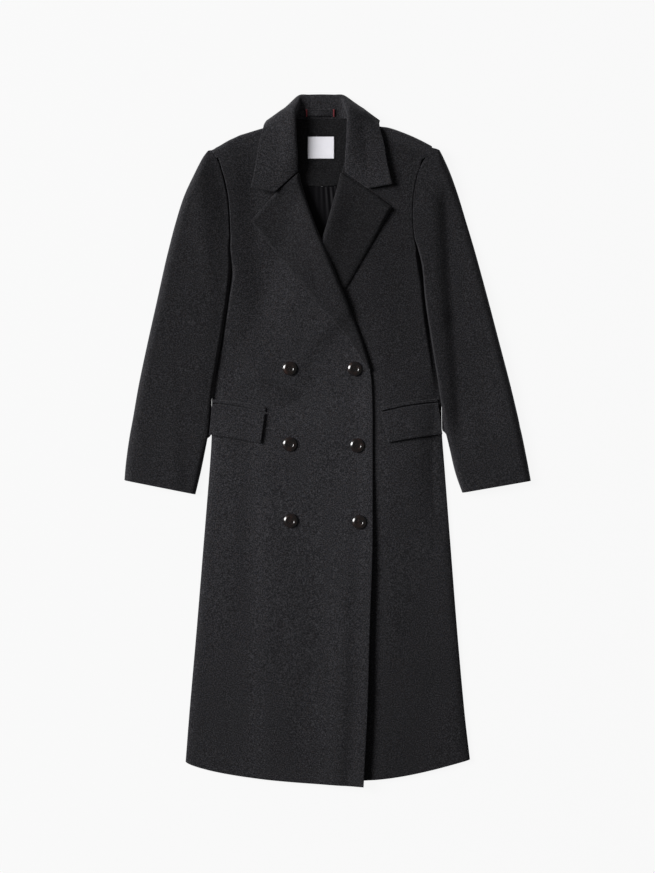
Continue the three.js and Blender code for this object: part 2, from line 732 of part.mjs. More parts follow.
function collar() {
  const half = 12;
  const shares = Array.from({ length: half + 1 }, (_, k) => k / half);
  const left = shares.map((v) => collarRow(collarStation(v, -1)));
  const right = shares.slice(0, half).reverse().map((v) => collarRow(collarStation(v, 1)));
  return wall([...left, ...right], -DOUBLE);
}

add('collar', collar(), coatCloth());

// ---- inside the neck -----------------------------------------------------------------------------

const FACING = { left: -60, right: 38, low: 471, high: 586.6, lowBow: -6, play: 0.8 };
const LINING = { left: -72, right: 50, low: 352, high: 464.4 };

// Upper face of the back inside the neck
function backTop(x, y) {
  const found = backFaces.map((face) => face(x, y)).find((z) => z !== undefined);
  return (found ?? backLift(x, y)) + CLOTH;
}
const facingTop = (x, y) => backTop(x, y) + FACING.play + CLOTH;

function flatGrid({ left, right, low, high, columns, rows, height, lowBow = 0 }) {
  return laidGrid({
    rows,
    steps: [0, columns, 0],
    height,
    bend: (u, v) => lowBow * Math.sin(Math.PI * u) * (1 - v),
    row: (v) => ({ start: point(left, lerp(low, high, v)), end: point(right, lerp(low, high, v)) }),
  });
}

const facingGrid = flatGrid({ ...FACING, columns: 6, rows: 6, height: facingTop });
add('neck_facing', wall(facingGrid, CLOTH), coatCloth());

// Soft pleats run down the lining from the facing's edge
const PLEATS = table(['x', 'rise', 'reach'], [
  [-30, 1.6, 7],
  [-12, 2.6, 6],
  [-2, 2, 5],
  [9, 2.8, 6],
  [24, 1.4, 8],
]);
function liningTop(x, y) {
  const folds = PLEATS.reduce((sum, p) => sum + p.rise * Math.exp(-(((x - p.x) / p.reach) ** 2)), 0);
  return backTop(x, y) + SEAM + SATIN + folds * (1 - smooth(455, 464, y));
}
const liningGrid = flatGrid({ ...LINING, columns: 16, rows: 4, height: liningTop });
add('lining', wall(liningGrid, SATIN), satin());

const labelBox = {
  left: LABEL.x - LABEL.wide / 2, right: LABEL.x + LABEL.wide / 2,
  low: LABEL.y - LABEL.high / 2, high: LABEL.y + LABEL.high / 2,
};
const facingFace = faceOf(facingGrid);
const labelTop = (x, y) => facingFace(x, y) + SEAM + PLAY + LABEL.thick;
const labelGrid = flatGrid({ ...labelBox, columns: 4, rows: 4, height: labelTop });
add('label', wall(labelGrid, LABEL.thick), patch());

// The hanger loop lies on the stand and arches a little between its sewn ends
function hangerLoop() {
  const half = LOOP.wide / 2;
  const middle = (LOOP.from + LOOP.to) / 2;
  const stand = collarRow(collarStation(1, -1));
  const standTop = (y) => {
    const next = stand.findIndex((p) => p.y > y);
    const [a, b] = [stand[next - 1], stand[next]];
    return lerp(a.z, b.z, (y - a.y) / (b.y - a.y));
  };
  return flatGrid({
    left: LOOP.from, right: LOOP.to, low: LOOP.y - half, high: LOOP.y + half, columns: 10, rows: 2,
    height: (x, y) => {
      const along = (x - middle) / (LOOP.to - middle);
      return standTop(y) + LOOP.play + LOOP.thick + LOOP.arch * Math.cos(along * Math.PI / 2) ** 2;
    },
  });
}
add('hanger_loop', wall(hangerLoop(), LOOP.thick), coatCloth());

// ---- pockets --------------------------------------------------------------------------------------

// A point moved out from the face of a front
function facePoint(x, y, side, out) {
  const face = side < 0 ? onOver : onUnder;
  const spot = (dx, dy) => new THREE.Vector3(x + dx, y + dy, face(x + dx, y + dy));
  const across = spot(1, 0).sub(spot(-1, 0));
  const up = spot(0, 1).sub(spot(0, -1));
  return spot(0, 0).addScaledVector(across.cross(up).normalize(), out);
}

// A patch on a front between four corners, moved out from the front's own points; the line
// of the pocket is curved a little upwards
const POCKET = { bow: 2.6, crowd: 1.7 };
function onFront({ corners, side, thick, columns, rows }) {
  const [a, b, c, d] = corners.map(([x, y]) => point(x, y));
  const closer = (share) => share ** POCKET.crowd;     // steps grow away from the side's fold
  const grid = Array.from({ length: rows + 1 }, (_, i) =>
    Array.from({ length: columns + 1 }, (_, j) => {
      const u = side < 0 ? closer(j / columns) : 1 - closer(1 - j / columns);
      const v = i / rows;
      const p = a.clone().lerp(b, u).lerp(d.clone().lerp(c, u), v);
      p.y += POCKET.bow * Math.sin(Math.PI * u);
      return facePoint(p.x, p.y, side, SEAM + PLAY + thick);
    }));
  return wall(grid, thick);
}

// Corners run from the flap's lower left round to its upper left
const FLAPS = {
  left: { side: -1, corners: [[-210.5, 10], [-121.5, -5.5], [-114, 51], [-207, 68.4]] },
  right: { side: 1, corners: [[111, -4], [210.5, 11.5], [202.5, 70.5], [99, 53]] },
};
const WELTS = {
  left: { side: -1, corners: [[-207, 69.8], [-113, 52.4], [-113.5, 60.5], [-206.5, 75]] },
  right: { side: 1, corners: [[98, 54.4], [201, 72], [200, 76], [97.5, 60.5]] },
};
for (const name of ['left', 'right']) {
  add(`flap_${name}`, onFront({ ...FLAPS[name], thick: DOUBLE, columns: 10, rows: 4 }), coatCloth());
  add(`welt_${name}`, onFront({ ...WELTS[name], thick: 2, columns: 8, rows: 2 }), coatCloth());
}

// ---- buttons --------------------------------------------------------------------------------------

function solid(geometry) {
  geometry.deleteAttribute('normal');
  geometry.deleteAttribute('uv');
  const merged = mergeVertices(geometry, 1e-4);
  return new wasm.Manifold(new wasm.Mesh({
    numProp: 3,
    vertProperties: new Float32Array(merged.attributes.position.array),
    triVerts: new Uint32Array(merged.index.array),
  }));
}

// Turned profile with a raised round rim and a dished middle, pierced by four holes
function buttonGeometry() {
  const radius = BUTTON.across / 2;
  const profile = [
    [0, 0], [radius - 4, 0], [radius - 1, 1], [radius, 2.4], [radius - 0.5, 3.8],
    [radius - 1.5, BUTTON.thick], [radius - BUTTON.rim, BUTTON.thick - 0.3],
    [radius - BUTTON.rim - 1.6, BUTTON.thick - BUTTON.dish], [0, BUTTON.thick - BUTTON.dish - 0.2],
  ].map(([r, z]) => new THREE.Vector2(r, z));
  const disc = new THREE.LatheGeometry(profile, 24).rotateX(Math.PI / 2);
  let body = solid(disc);
  for (const [i, j] of [[-1, -1], [1, -1], [1, 1], [-1, 1]]) {
    const hole = new THREE.CylinderGeometry(BUTTON.hole / 2, BUTTON.hole / 2, 4 * BUTTON.thick, 8);
    hole.rotateX(Math.PI / 2).translate(i * BUTTON.spread / 2, j * BUTTON.spread / 2, 0);
    body = body.subtract(solid(hole));
  }
  const mesh = body.getMesh();
  const geometry = new THREE.BufferGeometry();
  geometry.setAttribute('position', new THREE.BufferAttribute(mesh.vertProperties, 3));
  geometry.setIndex(new THREE.BufferAttribute(mesh.triVerts, 1));
  return geometry;
}

// Highest point of the over front below a button
function seatOf(x, y) {
  const around = [[0, 0], [1, 0], [0, 1], [-1, 0], [0, -1]];
  const reach = BUTTON.across / 2 - 3;
  return Math.max(...around.map(([i, j]) => onOver(x + i * reach, y + j * reach)));
}

const BUTTONS = {
  left: [[-69, 132], [-69, -7], [-67.5, -147]],
  right: [[50, 131], [54.5, -9], [58, -149]],
};
for (const [column, places] of Object.entries(BUTTONS)) {
  places.forEach(([x, y], k) => {
    const button = add(`button_${column}_${k + 1}`, buttonGeometry(), horn());
    button.position.set(x, y, seatOf(x, y) + SEAM);
  });
}

export default coat;
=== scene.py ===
# %% [markdown]
# # A chesterfield coat laid flat
# The coat is double-breasted, long and plain, cut from a soft charcoal wool with a melange of
# lighter and darker fibres. It lies on its back with the front closed and the sleeves at its
# sides. Every panel that a tailor cuts is a sheet of its own here: two fronts, two lapels, the
# collar, two back halves, four sleeve panels, the pocket flaps and what shows inside the neck.
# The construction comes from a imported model, which is loaded first and never changed. Each
# piece below stands for one of its nodes and lies in the same place, with a finer surface.

# %% Load the fixed frame
import json
import math

import bpy
import numpy as np
from mathutils import Matrix, Vector

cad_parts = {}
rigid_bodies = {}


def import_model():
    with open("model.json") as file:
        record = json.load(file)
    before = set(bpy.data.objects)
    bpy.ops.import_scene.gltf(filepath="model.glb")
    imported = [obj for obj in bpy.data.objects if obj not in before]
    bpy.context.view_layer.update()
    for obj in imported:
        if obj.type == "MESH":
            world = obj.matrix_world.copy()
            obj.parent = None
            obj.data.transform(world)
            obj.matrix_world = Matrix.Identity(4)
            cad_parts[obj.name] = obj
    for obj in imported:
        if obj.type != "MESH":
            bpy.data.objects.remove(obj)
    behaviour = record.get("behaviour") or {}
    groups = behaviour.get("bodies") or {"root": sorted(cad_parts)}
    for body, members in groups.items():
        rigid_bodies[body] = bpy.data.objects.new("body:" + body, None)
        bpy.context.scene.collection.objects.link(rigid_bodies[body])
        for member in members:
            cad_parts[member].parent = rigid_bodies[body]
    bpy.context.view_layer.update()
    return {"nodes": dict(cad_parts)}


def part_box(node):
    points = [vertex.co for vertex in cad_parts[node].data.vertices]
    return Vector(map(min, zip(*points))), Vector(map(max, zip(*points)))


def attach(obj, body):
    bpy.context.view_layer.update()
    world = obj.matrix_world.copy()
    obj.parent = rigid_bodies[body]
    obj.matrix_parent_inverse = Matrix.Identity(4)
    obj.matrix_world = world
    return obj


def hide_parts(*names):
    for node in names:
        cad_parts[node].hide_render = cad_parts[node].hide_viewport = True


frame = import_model()
bpy.ops.object.select_all(action="DESELECT")

MM = 0.001          # the tables below are in millimetres, and Blender's unit is the metre
print("nodes in the frame:", len(frame["nodes"]))

# %% [markdown]
# ## Camera
# A garment that lies flat is looked at from straight above. A long lens from far away keeps the
# cloth free of perspective, as a camera on a high stand does. The lens could be orthographic,
# but a perspective one also serves the side views. Its length follows from the distance and
# from how much of the floor the picture takes in.

# %% Camera straight above the coat
PICTURE_TALL = 1.5976                       # metres of floor from the picture's top to its foot
CAMERA_HIGH = 5.0
CENTRE = Vector((0, 0.0073, 0.012))         # what the lens points at, on the cloth's surface

camera_data = bpy.data.cameras.new("camera")
camera_data.lens = camera_data.sensor_width * (CAMERA_HIGH - CENTRE.z) / PICTURE_TALL
camera = bpy.data.objects.new("camera", camera_data)
bpy.context.scene.collection.objects.link(camera)
camera.location = (CENTRE.x, CENTRE.y, CAMERA_HIGH)
bpy.context.scene.camera = camera
print("lens in mm:", round(camera_data.lens, 1))

# %% [markdown]
# ## Light
# One large soft lamp stands far off to the upper left. It is low, so every fold, lapel and edge
# throws a soft shadow to its right, and far away, so both sleeves get the same light. An even,
# dimmer light from all round keeps the shadows readable. A charcoal cloth sends back about two
# parts in a hundred, so the picture is shown without a filmic curve: the Standard view keeps
# those dark tones where they belong.

# %% Lamp, surroundings and view
LAMP = {"away": 14.0, "turn": 162, "above": 31, "size": 6.8, "watts": 3050}
AROUND = 0.15

lamp_data = bpy.data.lights.new("key_lamp", "AREA")
lamp_data.shape = "DISK"
lamp_data.size = LAMP["size"]
lamp_data.energy = LAMP["watts"]
lamp = bpy.data.objects.new("key_lamp", lamp_data)
bpy.context.scene.collection.objects.link(lamp)
turn, above = math.radians(LAMP["turn"]), math.radians(LAMP["above"])
direction = Vector((math.cos(turn) * math.cos(above), math.sin(turn) * math.cos(above),
                    math.sin(above)))
lamp.location = CENTRE + direction * LAMP["away"]
lamp.rotation_euler = (CENTRE - lamp.location).to_track_quat("-Z", "Y").to_euler()

world = bpy.data.worlds.new("studio")
bpy.context.scene.world = world
world.use_nodes = True
surroundings = world.node_tree.nodes["Background"]
surroundings.inputs["Color"].default_value = (1, 1, 1, 1)
surroundings.inputs["Strength"].default_value = AROUND
bpy.context.scene.view_settings.view_transform = "Standard"
print("lamp at", [round(value, 2) for value in lamp.location])

# %% [markdown]
# ## Writing materials as arithmetic
# A material is a network of nodes, and most of those nodes are plain sums. The class below wraps
# the output of a node, so that an expression such as `0.9 + clouds * 0.2` adds its Math nodes
# by itself. Every other node comes from one method that takes the node's type, its settings and
# the values of its sockets.

# %% Wires and recipes
class Wire:
    """A number, colour or vector that leaves a node of a recipe."""

    def __init__(self, recipe, socket):
        self.recipe, self.socket = recipe, socket

    def math(self, operation, first, second):
        return self.recipe.node("ShaderNodeMath", {"operation": operation}, [first, second])

    def __add__(self, other):
        return self.math("ADD", self, other)

    def __radd__(self, other):
        return self.math("ADD", other, self)

    def __mul__(self, other):
        return self.math("MULTIPLY", self, other)

    def __rmul__(self, other):
        return self.math("MULTIPLY", other, self)


class Recipe:
    """A material whose nodes are added one by one to a Principled surface."""

    def __init__(self, name, **constants):
        self.material = bpy.data.materials.new(name)
        self.material.use_nodes = True
        self.nodes = self.material.node_tree.nodes
        self.links = self.material.node_tree.links
        self.surface = self.nodes["Principled BSDF"]
        for socket, value in constants.items():
            self.surface.inputs[socket.replace("_", " ")].default_value = value

    def node(self, kind, settings=None, inputs=None, output=0):
        made = self.nodes.new(kind)
        for name, value in (settings or {}).items():
            if name == "stops":
                self.set_stops(made.color_ramp, value)
            else:
                setattr(made, name, value)
        named = inputs.items() if isinstance(inputs, dict) else enumerate(inputs or [])
        for socket, value in named:
            self.plug(made.inputs[socket], value)
        return Wire(self, made.outputs[output])

    def set_stops(self, ramp, stops):
        while len(ramp.elements) < len(stops):
            ramp.elements.new(1.0)
        for element, (place, colour) in zip(ramp.elements, stops):
            element.position = place
            element.color = (*colour, 1)

    def plug(self, socket, value):
        if isinstance(value, Wire):
            self.links.new(value.socket, socket)
        else:
            socket.default_value = value

    def feed(self, **wires):
        for socket, wire in wires.items():
            self.plug(self.surface.inputs[socket.replace("_", " ")], wire)

    def place(self, source="Object"):
        return self.node("ShaderNodeTexCoord", output=source)

    def noise(self, scale, detail=2.0, roughness=0.5, at=None):
        values = {"Vector": at or self.place(), "Scale": scale, "Detail": detail,
                  "Roughness": roughness}
        return self.node("ShaderNodeTexNoise", inputs=values)

    def mapped(self, at, scale=(1, 1, 1), turn=0.0):
        values = {"Vector": at, "Rotation": (0, 0, turn), "Scale": scale}
        return self.node("ShaderNodeMapping", inputs=values)

    def mix(self, share, first, second):
        values = {0: share, 6: first, 7: second}
        return self.node("ShaderNodeMix", {"data_type": "RGBA"}, values, output=2)

    def bump(self, height, depth, strength=1.0, under=None):
        values = {"Strength": strength, "Distance": depth, "Height": height}
        if under is not None:
            values["Normal"] = under
        return self.node("ShaderNodeBump", inputs=values)

# %% [markdown]
# ## The wool
# Melange wool is spun from fibres dyed in different greys, so up close it is a drift of dark and
# light flecks, with a few warm and cool hairs among them. Three sizes of detail are laid over
# each other: soft clouds as wide as a hand, flecks of two or three millimetres, and single hairs
# that run along the cloth. The hairs follow the UV map, which is laid out in metres along each
# panel, so they keep their size and run down the piece. A low specular level and some sheen give
# the dry, felted look. The colour also carries painted shade: it is darker towards the hem and
# over the chest. Each panel also has a level of its own, which is partly the lie of its nap and
# mostly painted shade for how that panel lies to the light.

# %% Wool material
FLECKS = 500            # flecks, hairs and clouds to the metre
HAIRS = (2200, 460)
CLOUDS = 11
DARK_GREY = (0.0030, 0.0030, 0.0038)
MID_GREY = (0.0148, 0.0149, 0.0166)
LIGHT_GREY = (0.056, 0.0555, 0.0610)
# Painted shade by height: from one height to another the colour goes from one level of light to
# another
PAINTED_SHADE_BY_HEIGHT = {"hem": (-0.62, 0.0, 0.72, 1.0), "chest": (0.02, 0.2, 1.0, 0.9)}
FRONT_PAINTED_SHADE_BY_HEIGHT = PAINTED_SHADE_BY_HEIGHT | {"shoulder": (0.06, 0.4, 1.0, 0.84)}
WARM_HAIR = (0.050, 0.031, 0.027)
COOL_HAIR = (0.024, 0.025, 0.044)


def wool(name, nap_and_painted_shade=1.0, painted_shade_ranges=PAINTED_SHADE_BY_HEIGHT):
    """Felted melange wool; the second argument darkens the whole panel, partly for the lie of its
    nap and mostly as painted shade.
    """
    recipe = Recipe(name, Specular_IOR_Level=0.16, Sheen_Weight=0.16, Sheen_Roughness=0.45)
    recipe.surface.inputs["Sheen Tint"].default_value = (0.62, 0.62, 0.66, 1)
    along = recipe.place("UV")
    flecks = recipe.noise(FLECKS, 3.5, 0.72)
    clouds = recipe.noise(CLOUDS, 3.0, 0.55)
    hairs = recipe.noise(1.0, 2.0, 0.6, recipe.mapped(along, (*HAIRS, 1), 0.35))
    crossing = recipe.noise(1.0, 2.0, 0.6, recipe.mapped(along, (*HAIRS, 1), -0.5))
    stops = [(0.385, DARK_GREY), (0.5, MID_GREY), (0.605, LIGHT_GREY)]
    grey = recipe.node("ShaderNodeValToRGB", {"stops": stops}, [flecks * 0.8 + hairs * 0.2])
    strays = recipe.noise(900, 1.0, 0.5)
    warm = recipe.node("ShaderNodeMath", {"operation": "GREATER_THAN"}, [strays, 0.66])
    cool = recipe.node("ShaderNodeMath", {"operation": "LESS_THAN"}, [strays, 0.35])
    haired = recipe.mix(warm * 0.55, grey, (*WARM_HAIR, 1))
    haired = recipe.mix(cool * 0.5, haired, (*COOL_HAIR, 1))
    height = recipe.node("ShaderNodeSeparateXYZ", inputs=[recipe.place()], output=1)
    # the clouds are the wool's random tone; the panel's factor is painted shade, with a little of
    # the nap
    level = (0.9 + clouds * 0.2) * nap_and_painted_shade
    # painted shade: the colour is darker towards the hem and over the chest, and on the fronts also
    # over the shoulders
    for ends in painted_shade_ranges.values():
        ranges = dict(zip(("From Min", "From Max", "To Min", "To Max"), ends))
        level = level * recipe.node("ShaderNodeMapRange", {"interpolation_type": "SMOOTHSTEP"},
                                    {"Value": height, **ranges})
    multiply = {"data_type": "RGBA", "blend_type": "MULTIPLY"}
    colour = recipe.node("ShaderNodeMix", multiply, {0: 1.0, 6: haired, 7: level}, output=2)
    nap = recipe.noise(1500, 2.0, 0.7)
    felt = recipe.bump(flecks * 0.5 + nap * 0.5, 0.0005, 0.55)
    recipe.feed(Base_Color=colour, Roughness=0.88 + flecks * 0.1,
                Normal=recipe.bump(hairs + crossing, 0.00022, 0.5, felt))
    return recipe.material


# One wool copied for each panel, each with its own level. This is partly the nap's lie and mostly
# painted shade: the neck facing, the lapels, the under front and the sleeves are painted darker
# where they lie in shadow or slope from the lamp.
WOOL = {
    "over": wool("wool_over_front", 0.98, FRONT_PAINTED_SHADE_BY_HEIGHT),
    "under": wool("wool_under_front", 0.75, FRONT_PAINTED_SHADE_BY_HEIGHT),
    "sleeve": wool("wool_sleeves", 0.7),
    "collar": wool("wool_collar", 0.89),
    "lapel": wool("wool_over_lapel", 0.62),
    "turned": wool("wool_under_lapel", 0.47),
    "facing": wool("wool_neck_facing", 0.37),
    "back": wool("wool_back", 0.9),
}
print("wool materials:", len(WOOL))

# %% [markdown]
# ## Lining, label, horn and thread
# The lining is a satin: long floats of thread lie side by side and catch the light along one
# line, so it is smoother and glossier than the wool. The label is a plain white tape, left bare.
# Horn is translucent and streaked, polished to a gloss; noise that is bent by a second noise
# gives the streaks. Sewing thread is two plies twisted together, which a slanted wave shows.

# %% Lining, label, horn and thread materials
def satin():
    recipe = Recipe("satin_lining", Specular_IOR_Level=0.07, Sheen_Weight=0.02)
    along = recipe.place("UV")
    floats = recipe.noise(1.0, 2.0, 0.5, recipe.mapped(along, (4200, 180, 1)))
    slub = recipe.noise(60, 2.0, 0.5)
    colour = recipe.mix(floats, (0.0022, 0.0020, 0.0027, 1), (0.0052, 0.0048, 0.0062, 1))
    recipe.feed(Base_Color=colour, Roughness=0.5 + slub * 0.16,
                Normal=recipe.bump(floats, 0.0001, 0.35))
    return recipe.material


def tape():
    """White label tape: a fine warp and weft, with a soft unevenness."""
    recipe = Recipe("label_tape", Specular_IOR_Level=0.3, Roughness=0.72)
    along = recipe.node("ShaderNodeSeparateXYZ", inputs=[recipe.place("UV")])
    across, up = along, Wire(recipe, along.socket.node.outputs[1])
    weft = recipe.node("ShaderNodeMath", {"operation": "SINE"}, [up * 15000])
    warp = recipe.node("ShaderNodeMath", {"operation": "SINE"}, [across * 12000])
    weave = weft * warp
    soft = recipe.noise(120, 2.0, 0.5)
    colour = recipe.mix(soft * 0.5 + weave * 0.12, (0.92, 0.91, 0.96, 1), (0.84, 0.83, 0.88, 1))
    recipe.feed(Base_Color=colour, Normal=recipe.bump(weave, 0.00008, 0.5))
    return recipe.material


def horn():
    recipe = Recipe("dark_horn", Specular_IOR_Level=0.45, Coat_Weight=0.45, Coat_Roughness=0.06)
    bent = recipe.node("ShaderNodeVectorMath", {"operation": "MULTIPLY_ADD"}, [
        recipe.node("ShaderNodeTexNoise", inputs={"Scale": 60.0, "Detail": 2.0}, output=1),
        (0.02, 0.02, 0.0), recipe.place()])
    streaks = recipe.noise(1.0, 4.0, 0.6, recipe.mapped(bent, (420, 90, 90), 0.6))
    stops = [(0.36, (0.0030, 0.0026, 0.0026)), (0.52, (0.0045, 0.0030, 0.0027)),
             (0.60, (0.022, 0.0085, 0.006)), (0.72, (0.060, 0.030, 0.022))]
    colour = recipe.node("ShaderNodeValToRGB", {"stops": stops}, [streaks])
    scratches = recipe.noise(1.0, 1.0, 0.5, recipe.mapped(recipe.place(), (5000, 400, 400), 1.1))
    recipe.feed(Base_Color=colour, Roughness=0.16 + streaks * 0.14,
                Normal=recipe.bump(scratches, 0.00003, 0.25))
    return recipe.material


def thread(name, dark, light):
    recipe = Recipe(name, Specular_IOR_Level=0.35, Sheen_Weight=0.1, Roughness=0.6)
    plies = recipe.node("ShaderNodeTexWave", {"bands_direction": "DIAGONAL"},
                        {"Vector": recipe.place(), "Scale": 900.0, "Distortion": 1.5})
    recipe.feed(Base_Color=recipe.mix(plies, (*dark, 1), (*light, 1)),
                Normal=recipe.bump(plies, 0.0001, 0.6))
    return recipe.material


SATIN = satin()
TAPE = tape()
HORN = horn()
RED_THREAD = thread("red_thread", (0.085, 0.006, 0.010), (0.26, 0.022, 0.032))
GREY_THREAD = thread("grey_thread", (0.006, 0.006, 0.007), (0.020, 0.020, 0.022))
WHITE_THREAD = thread("white_thread", (0.45, 0.45, 0.5), (0.7, 0.7, 0.75))
print("materials:", [material.name for material in bpy.data.materials])
# %% [markdown]
# ## Floor
# The coat lies on a bright white sweep that is lit for itself, so the cloth throws almost no
# shadow on it. A plane that mostly glows and only partly takes the lamp's light gives that. It
# lies half a millimetre below the coat.

# %% White sweep below the coat
FLOOR_GLOW = 0.91
FLOOR_BELOW = 0.0005
sweep = Recipe("white_sweep", Roughness=1.0, Specular_IOR_Level=0.0, Emission_Strength=FLOOR_GLOW)
sweep.surface.inputs["Base Color"].default_value = (0.04, 0.04, 0.04, 1)
sweep.surface.inputs["Emission Color"].default_value = (1, 1, 1, 1)
bpy.ops.mesh.primitive_plane_add(size=40, location=(0, 0, -FLOOR_BELOW))
floor = bpy.context.object
floor.name = "floor"
bpy.ops.object.transform_apply(location=True)
floor.data.materials.append(sweep.material)
print("floor at", floor.data.vertices[0].co.z)

# %% [markdown]
# ## Tables and curves
# A pattern cutter writes a panel down as a short table: at this height the side is here and the
# edge is there. A smooth curve through the rows gives every place between them. The tables are
# read for whole arrays of places at once, so a panel of ten thousand points takes a moment.

# %% Reading tables
def table(columns, rows):
    """Rows of plain numbers under named columns, as one array for each column."""
    return dict(zip(columns.split(), np.array(rows, float).T))


def read(rows, column, share, straight=False):
    """One column at a share of its rows, from 0 to 1; straight keeps its corners."""
    values = rows[column]
    place = np.clip(share, 0, 1) * (len(values) - 1)
    i = np.minimum(place.astype(int), len(values) - 2)
    t = place - i
    if straight:
        return values[i] + (values[i + 1] - values[i]) * t
    first, last = 2 * values[0] - values[1], 2 * values[-1] - values[-2]
    p, q, r, s = (np.concatenate([[first], values, [last]])[i + k] for k in range(4))
    return q + 0.5 * t * (r - p + t * (2 * p - 5 * q + 4 * r - s + t * (3 * (q - r) + s - p)))


def share_at(rows, key, value):
    """The share of the rows at which the key column reaches a value."""
    keys, shares = rows[key], np.linspace(0, 1, len(rows[key]))
    if keys[-1] < keys[0]:
        keys, shares = keys[::-1], shares[::-1]
    return np.interp(value, keys, shares)


def look_up(rows, key, column, value):
    return read(rows, column, share_at(rows, key, value))


def smooth(low, high, value):
    t = np.clip((value - low) / (high - low), 0, 1)
    return t * t * (3 - 2 * t)


def blend(first, second, share):
    return first + (second - first) * share

# %% [markdown]
# ## The pattern of the coat
# These are the coat's own outlines, in millimetres: the sides of the body, the front edges, the
# lapels, the sleeves, the shoulders and the collar. They began as the tables of the packed
# model, so each fine sheet lies on its plain solid, but for a few millimetres at the sleeves.

# %% Outlines
BODY = table("y left right", [
    [-589, -260.5, 261.5], [-493, -253, 251], [-347, -240.3, 238], [-200, -228.3, 226.5],
    [-54, -216.5, 215.3], [12, -212.5, 210.3], [60, -212.3, 209.3], [120, -212, 209],
    [170, -213, 210.5], [220, -214, 212], [253, -215, 213], [286, -216, 214],
    [322, -188, 180], [356, -177.9, 162], [400, -178.2, 156], [447, -181.7, 157],
    [489, -191, 165.5], [517, -203.5, 181.2]])
BRINK = table("y left right", [
    [-10, -218, 211], [25, -217, 208], [43, -214, 205], [80, -208.5, 199.5], [116, -200.5, 192],
    [153, -193.5, 186.5], [189, -188, 181], [226, -182.5, 176], [263, -177, 172],
    [299, -172, 168], [336, -174, 161.5], [356, -177, 161]])
BACK_BODY = table("y left right", [
    [-584, -259, 260], [-493, -252.5, 250.5], [-347, -239.8, 237.5], [-200, -227.8, 226],
    [-54, -216, 214.8], [12, -212, 209.8], [120, -211.5, 208.5], [220, -213.5, 211.5],
    [286, -215.5, 213.5], [322, -203, 200], [356, -190, 180], [400, -187, 172],
    [447, -191, 171], [489, -199, 179], [527, -203.5, 189.5]])
OVER_EDGE = table("side x y", [
    [-589, 66, -634.3], [-493, 73.5, -490], [-347, 77.5, -347], [-200, 82.5, -200],
    [-54, 83, -54], [12, 83, 12], [60, 82.7, 61], [120, 79, 122], [170, 63, 170],
    [220, 45, 217], [253, 32, 250], [286, 19, 283], [322, 0, 330], [356, -16, 370],
    [400, -31, 410], [447, -46, 452], [489, -56, 500], [517, -73, 572]])
UNDER_EDGE = table("side x y", [
    [-585, -96, -612], [-493, -99, -490], [-347, -99, -347], [-200, -99, -200],
    [-54, -99, -54], [12, -99, 12], [60, -99, 61], [120, -95, 122], [170, -81, 170],
    [220, -66, 217], [253, -53, 250], [286, -40, 283], [322, -21, 330], [356, -5, 370],
    [400, 7, 410], [447, 17, 452], [489, 29, 500], [517, 51, 572]])
OVER_LAPEL = table("roll_x roll_y edge_x edge_y", [
    [79.5, 128, 71, 133], [63, 184, 38, 187], [35, 257, -19, 250], [17, 300, -64, 305],
    [-4, 352, -110, 362], [-18, 385, -141, 402], [-34, 428, -118, 428],
    [-46, 466, -96, 453], [-51.5, 489, -60, 483.5]])
UNDER_LAPEL = table("roll_x roll_y edge_x edge_y", [
    [-96, 128, -87, 133], [-82, 184, -50, 187], [-55, 257, 6, 243], [-35, 305, 36, 281],
    [-17, 352, 79, 355], [-3, 392, 118, 426], [9, 434, 94, 444], [18, 466, 71, 460],
    [23.5, 489, 32, 484]])
LEFT_SLEEVE = table("y inner outer tilt crown", [
    [532, -209.5, -219, -1, 13], [517, -201.8, -229.5, 0, 20], [489, -191, -244, 0, 24],
    [447, -182, -263.3, 0, 25.5], [400, -178.5, -278.3, 0, 24], [356, -178.4, -289.9, 0, 24],
    [317, -176.5, -299.3, 0, 23], [256, -183, -312.7, 0, 21.5], [184, -194, -328.8, 0, 20.5],
    [105, -208, -345.5, 0, 19], [45, -214.5, -356, 0, 17], [22, -216.3, -360, 1.5, 16.5],
    [8, -218.6, -362.3, 3, 16.2], [-17, -223.6, -365.8, 6, 16], [-60, -232.6, -370, 16, 15.5],
    [-99, -242, -372.5, 26, 15]])
RIGHT_SLEEVE = table("y inner outer tilt crown", [
    [536, 189, 205.3, -4, 18.5], [517, 179.2, 213.2, 0, 19.6], [489, 165, 225.6, 0, 19],
    [447, 157.2, 240.4, 0, 19.3], [400, 156.3, 254.6, 0, 19.6], [356, 164.5, 267.8, 0, 20],
    [317, 173.5, 278.7, 0, 21], [256, 179, 295.2, 0, 21.5], [184, 190, 314, 0, 20.5],
    [105, 202.5, 334.6, 0, 19], [45, 211, 349, 0, 17], [22, 214, 353.5, 1.5, 16.5],
    [8, 217.8, 356.5, 3, 16.2], [-17, 224, 361, 6, 16], [-60, 234.4, 367.5, 16, 15.5],
    [-96, 247, 373, 22, 15]])
SHOULDER = table("x ridge seam", [
    [-214, 530.5, 514], [-203, 537, 516], [-182, 549, 528], [-160, 559.5, 536.5], [-117, 572, 553],
    [-73, 582, 571], [-60, 584, 577], [40, 584, 577], [51, 582, 571], [95, 575, 554],
    [112, 572.5, 548.7], [140, 563.3, 540], [166, 552, 530.5], [193, 538, 520]])
ARMHOLE_TOP = table("y left right", [
    [517, -203.5, 181.2], [524, -208.4, 186.6], [531, -212.6, 191.6]])


def armhole(y, side):
    """The seam of the sleeve head, up the front's side and on over the shoulder."""
    column = "left" if side < 0 else "right"
    above = look_up(ARMHOLE_TOP, "y", column, y)
    return np.where(y < 517, look_up(BODY, "y", column, y), above)


print("rows in the tables:", len(BODY["y"]), len(LEFT_SLEEVE["y"]), len(SHOULDER["x"]))

# %% [markdown]
# ## How the layers lie on each other
# The back lies on the floor, the under front on the back, and the over front on both. A sleeve
# comes off the floor on to the body's side and presses it flat. The chest lies higher than the
# skirt. Each function below gives the height of one upper face at any place.

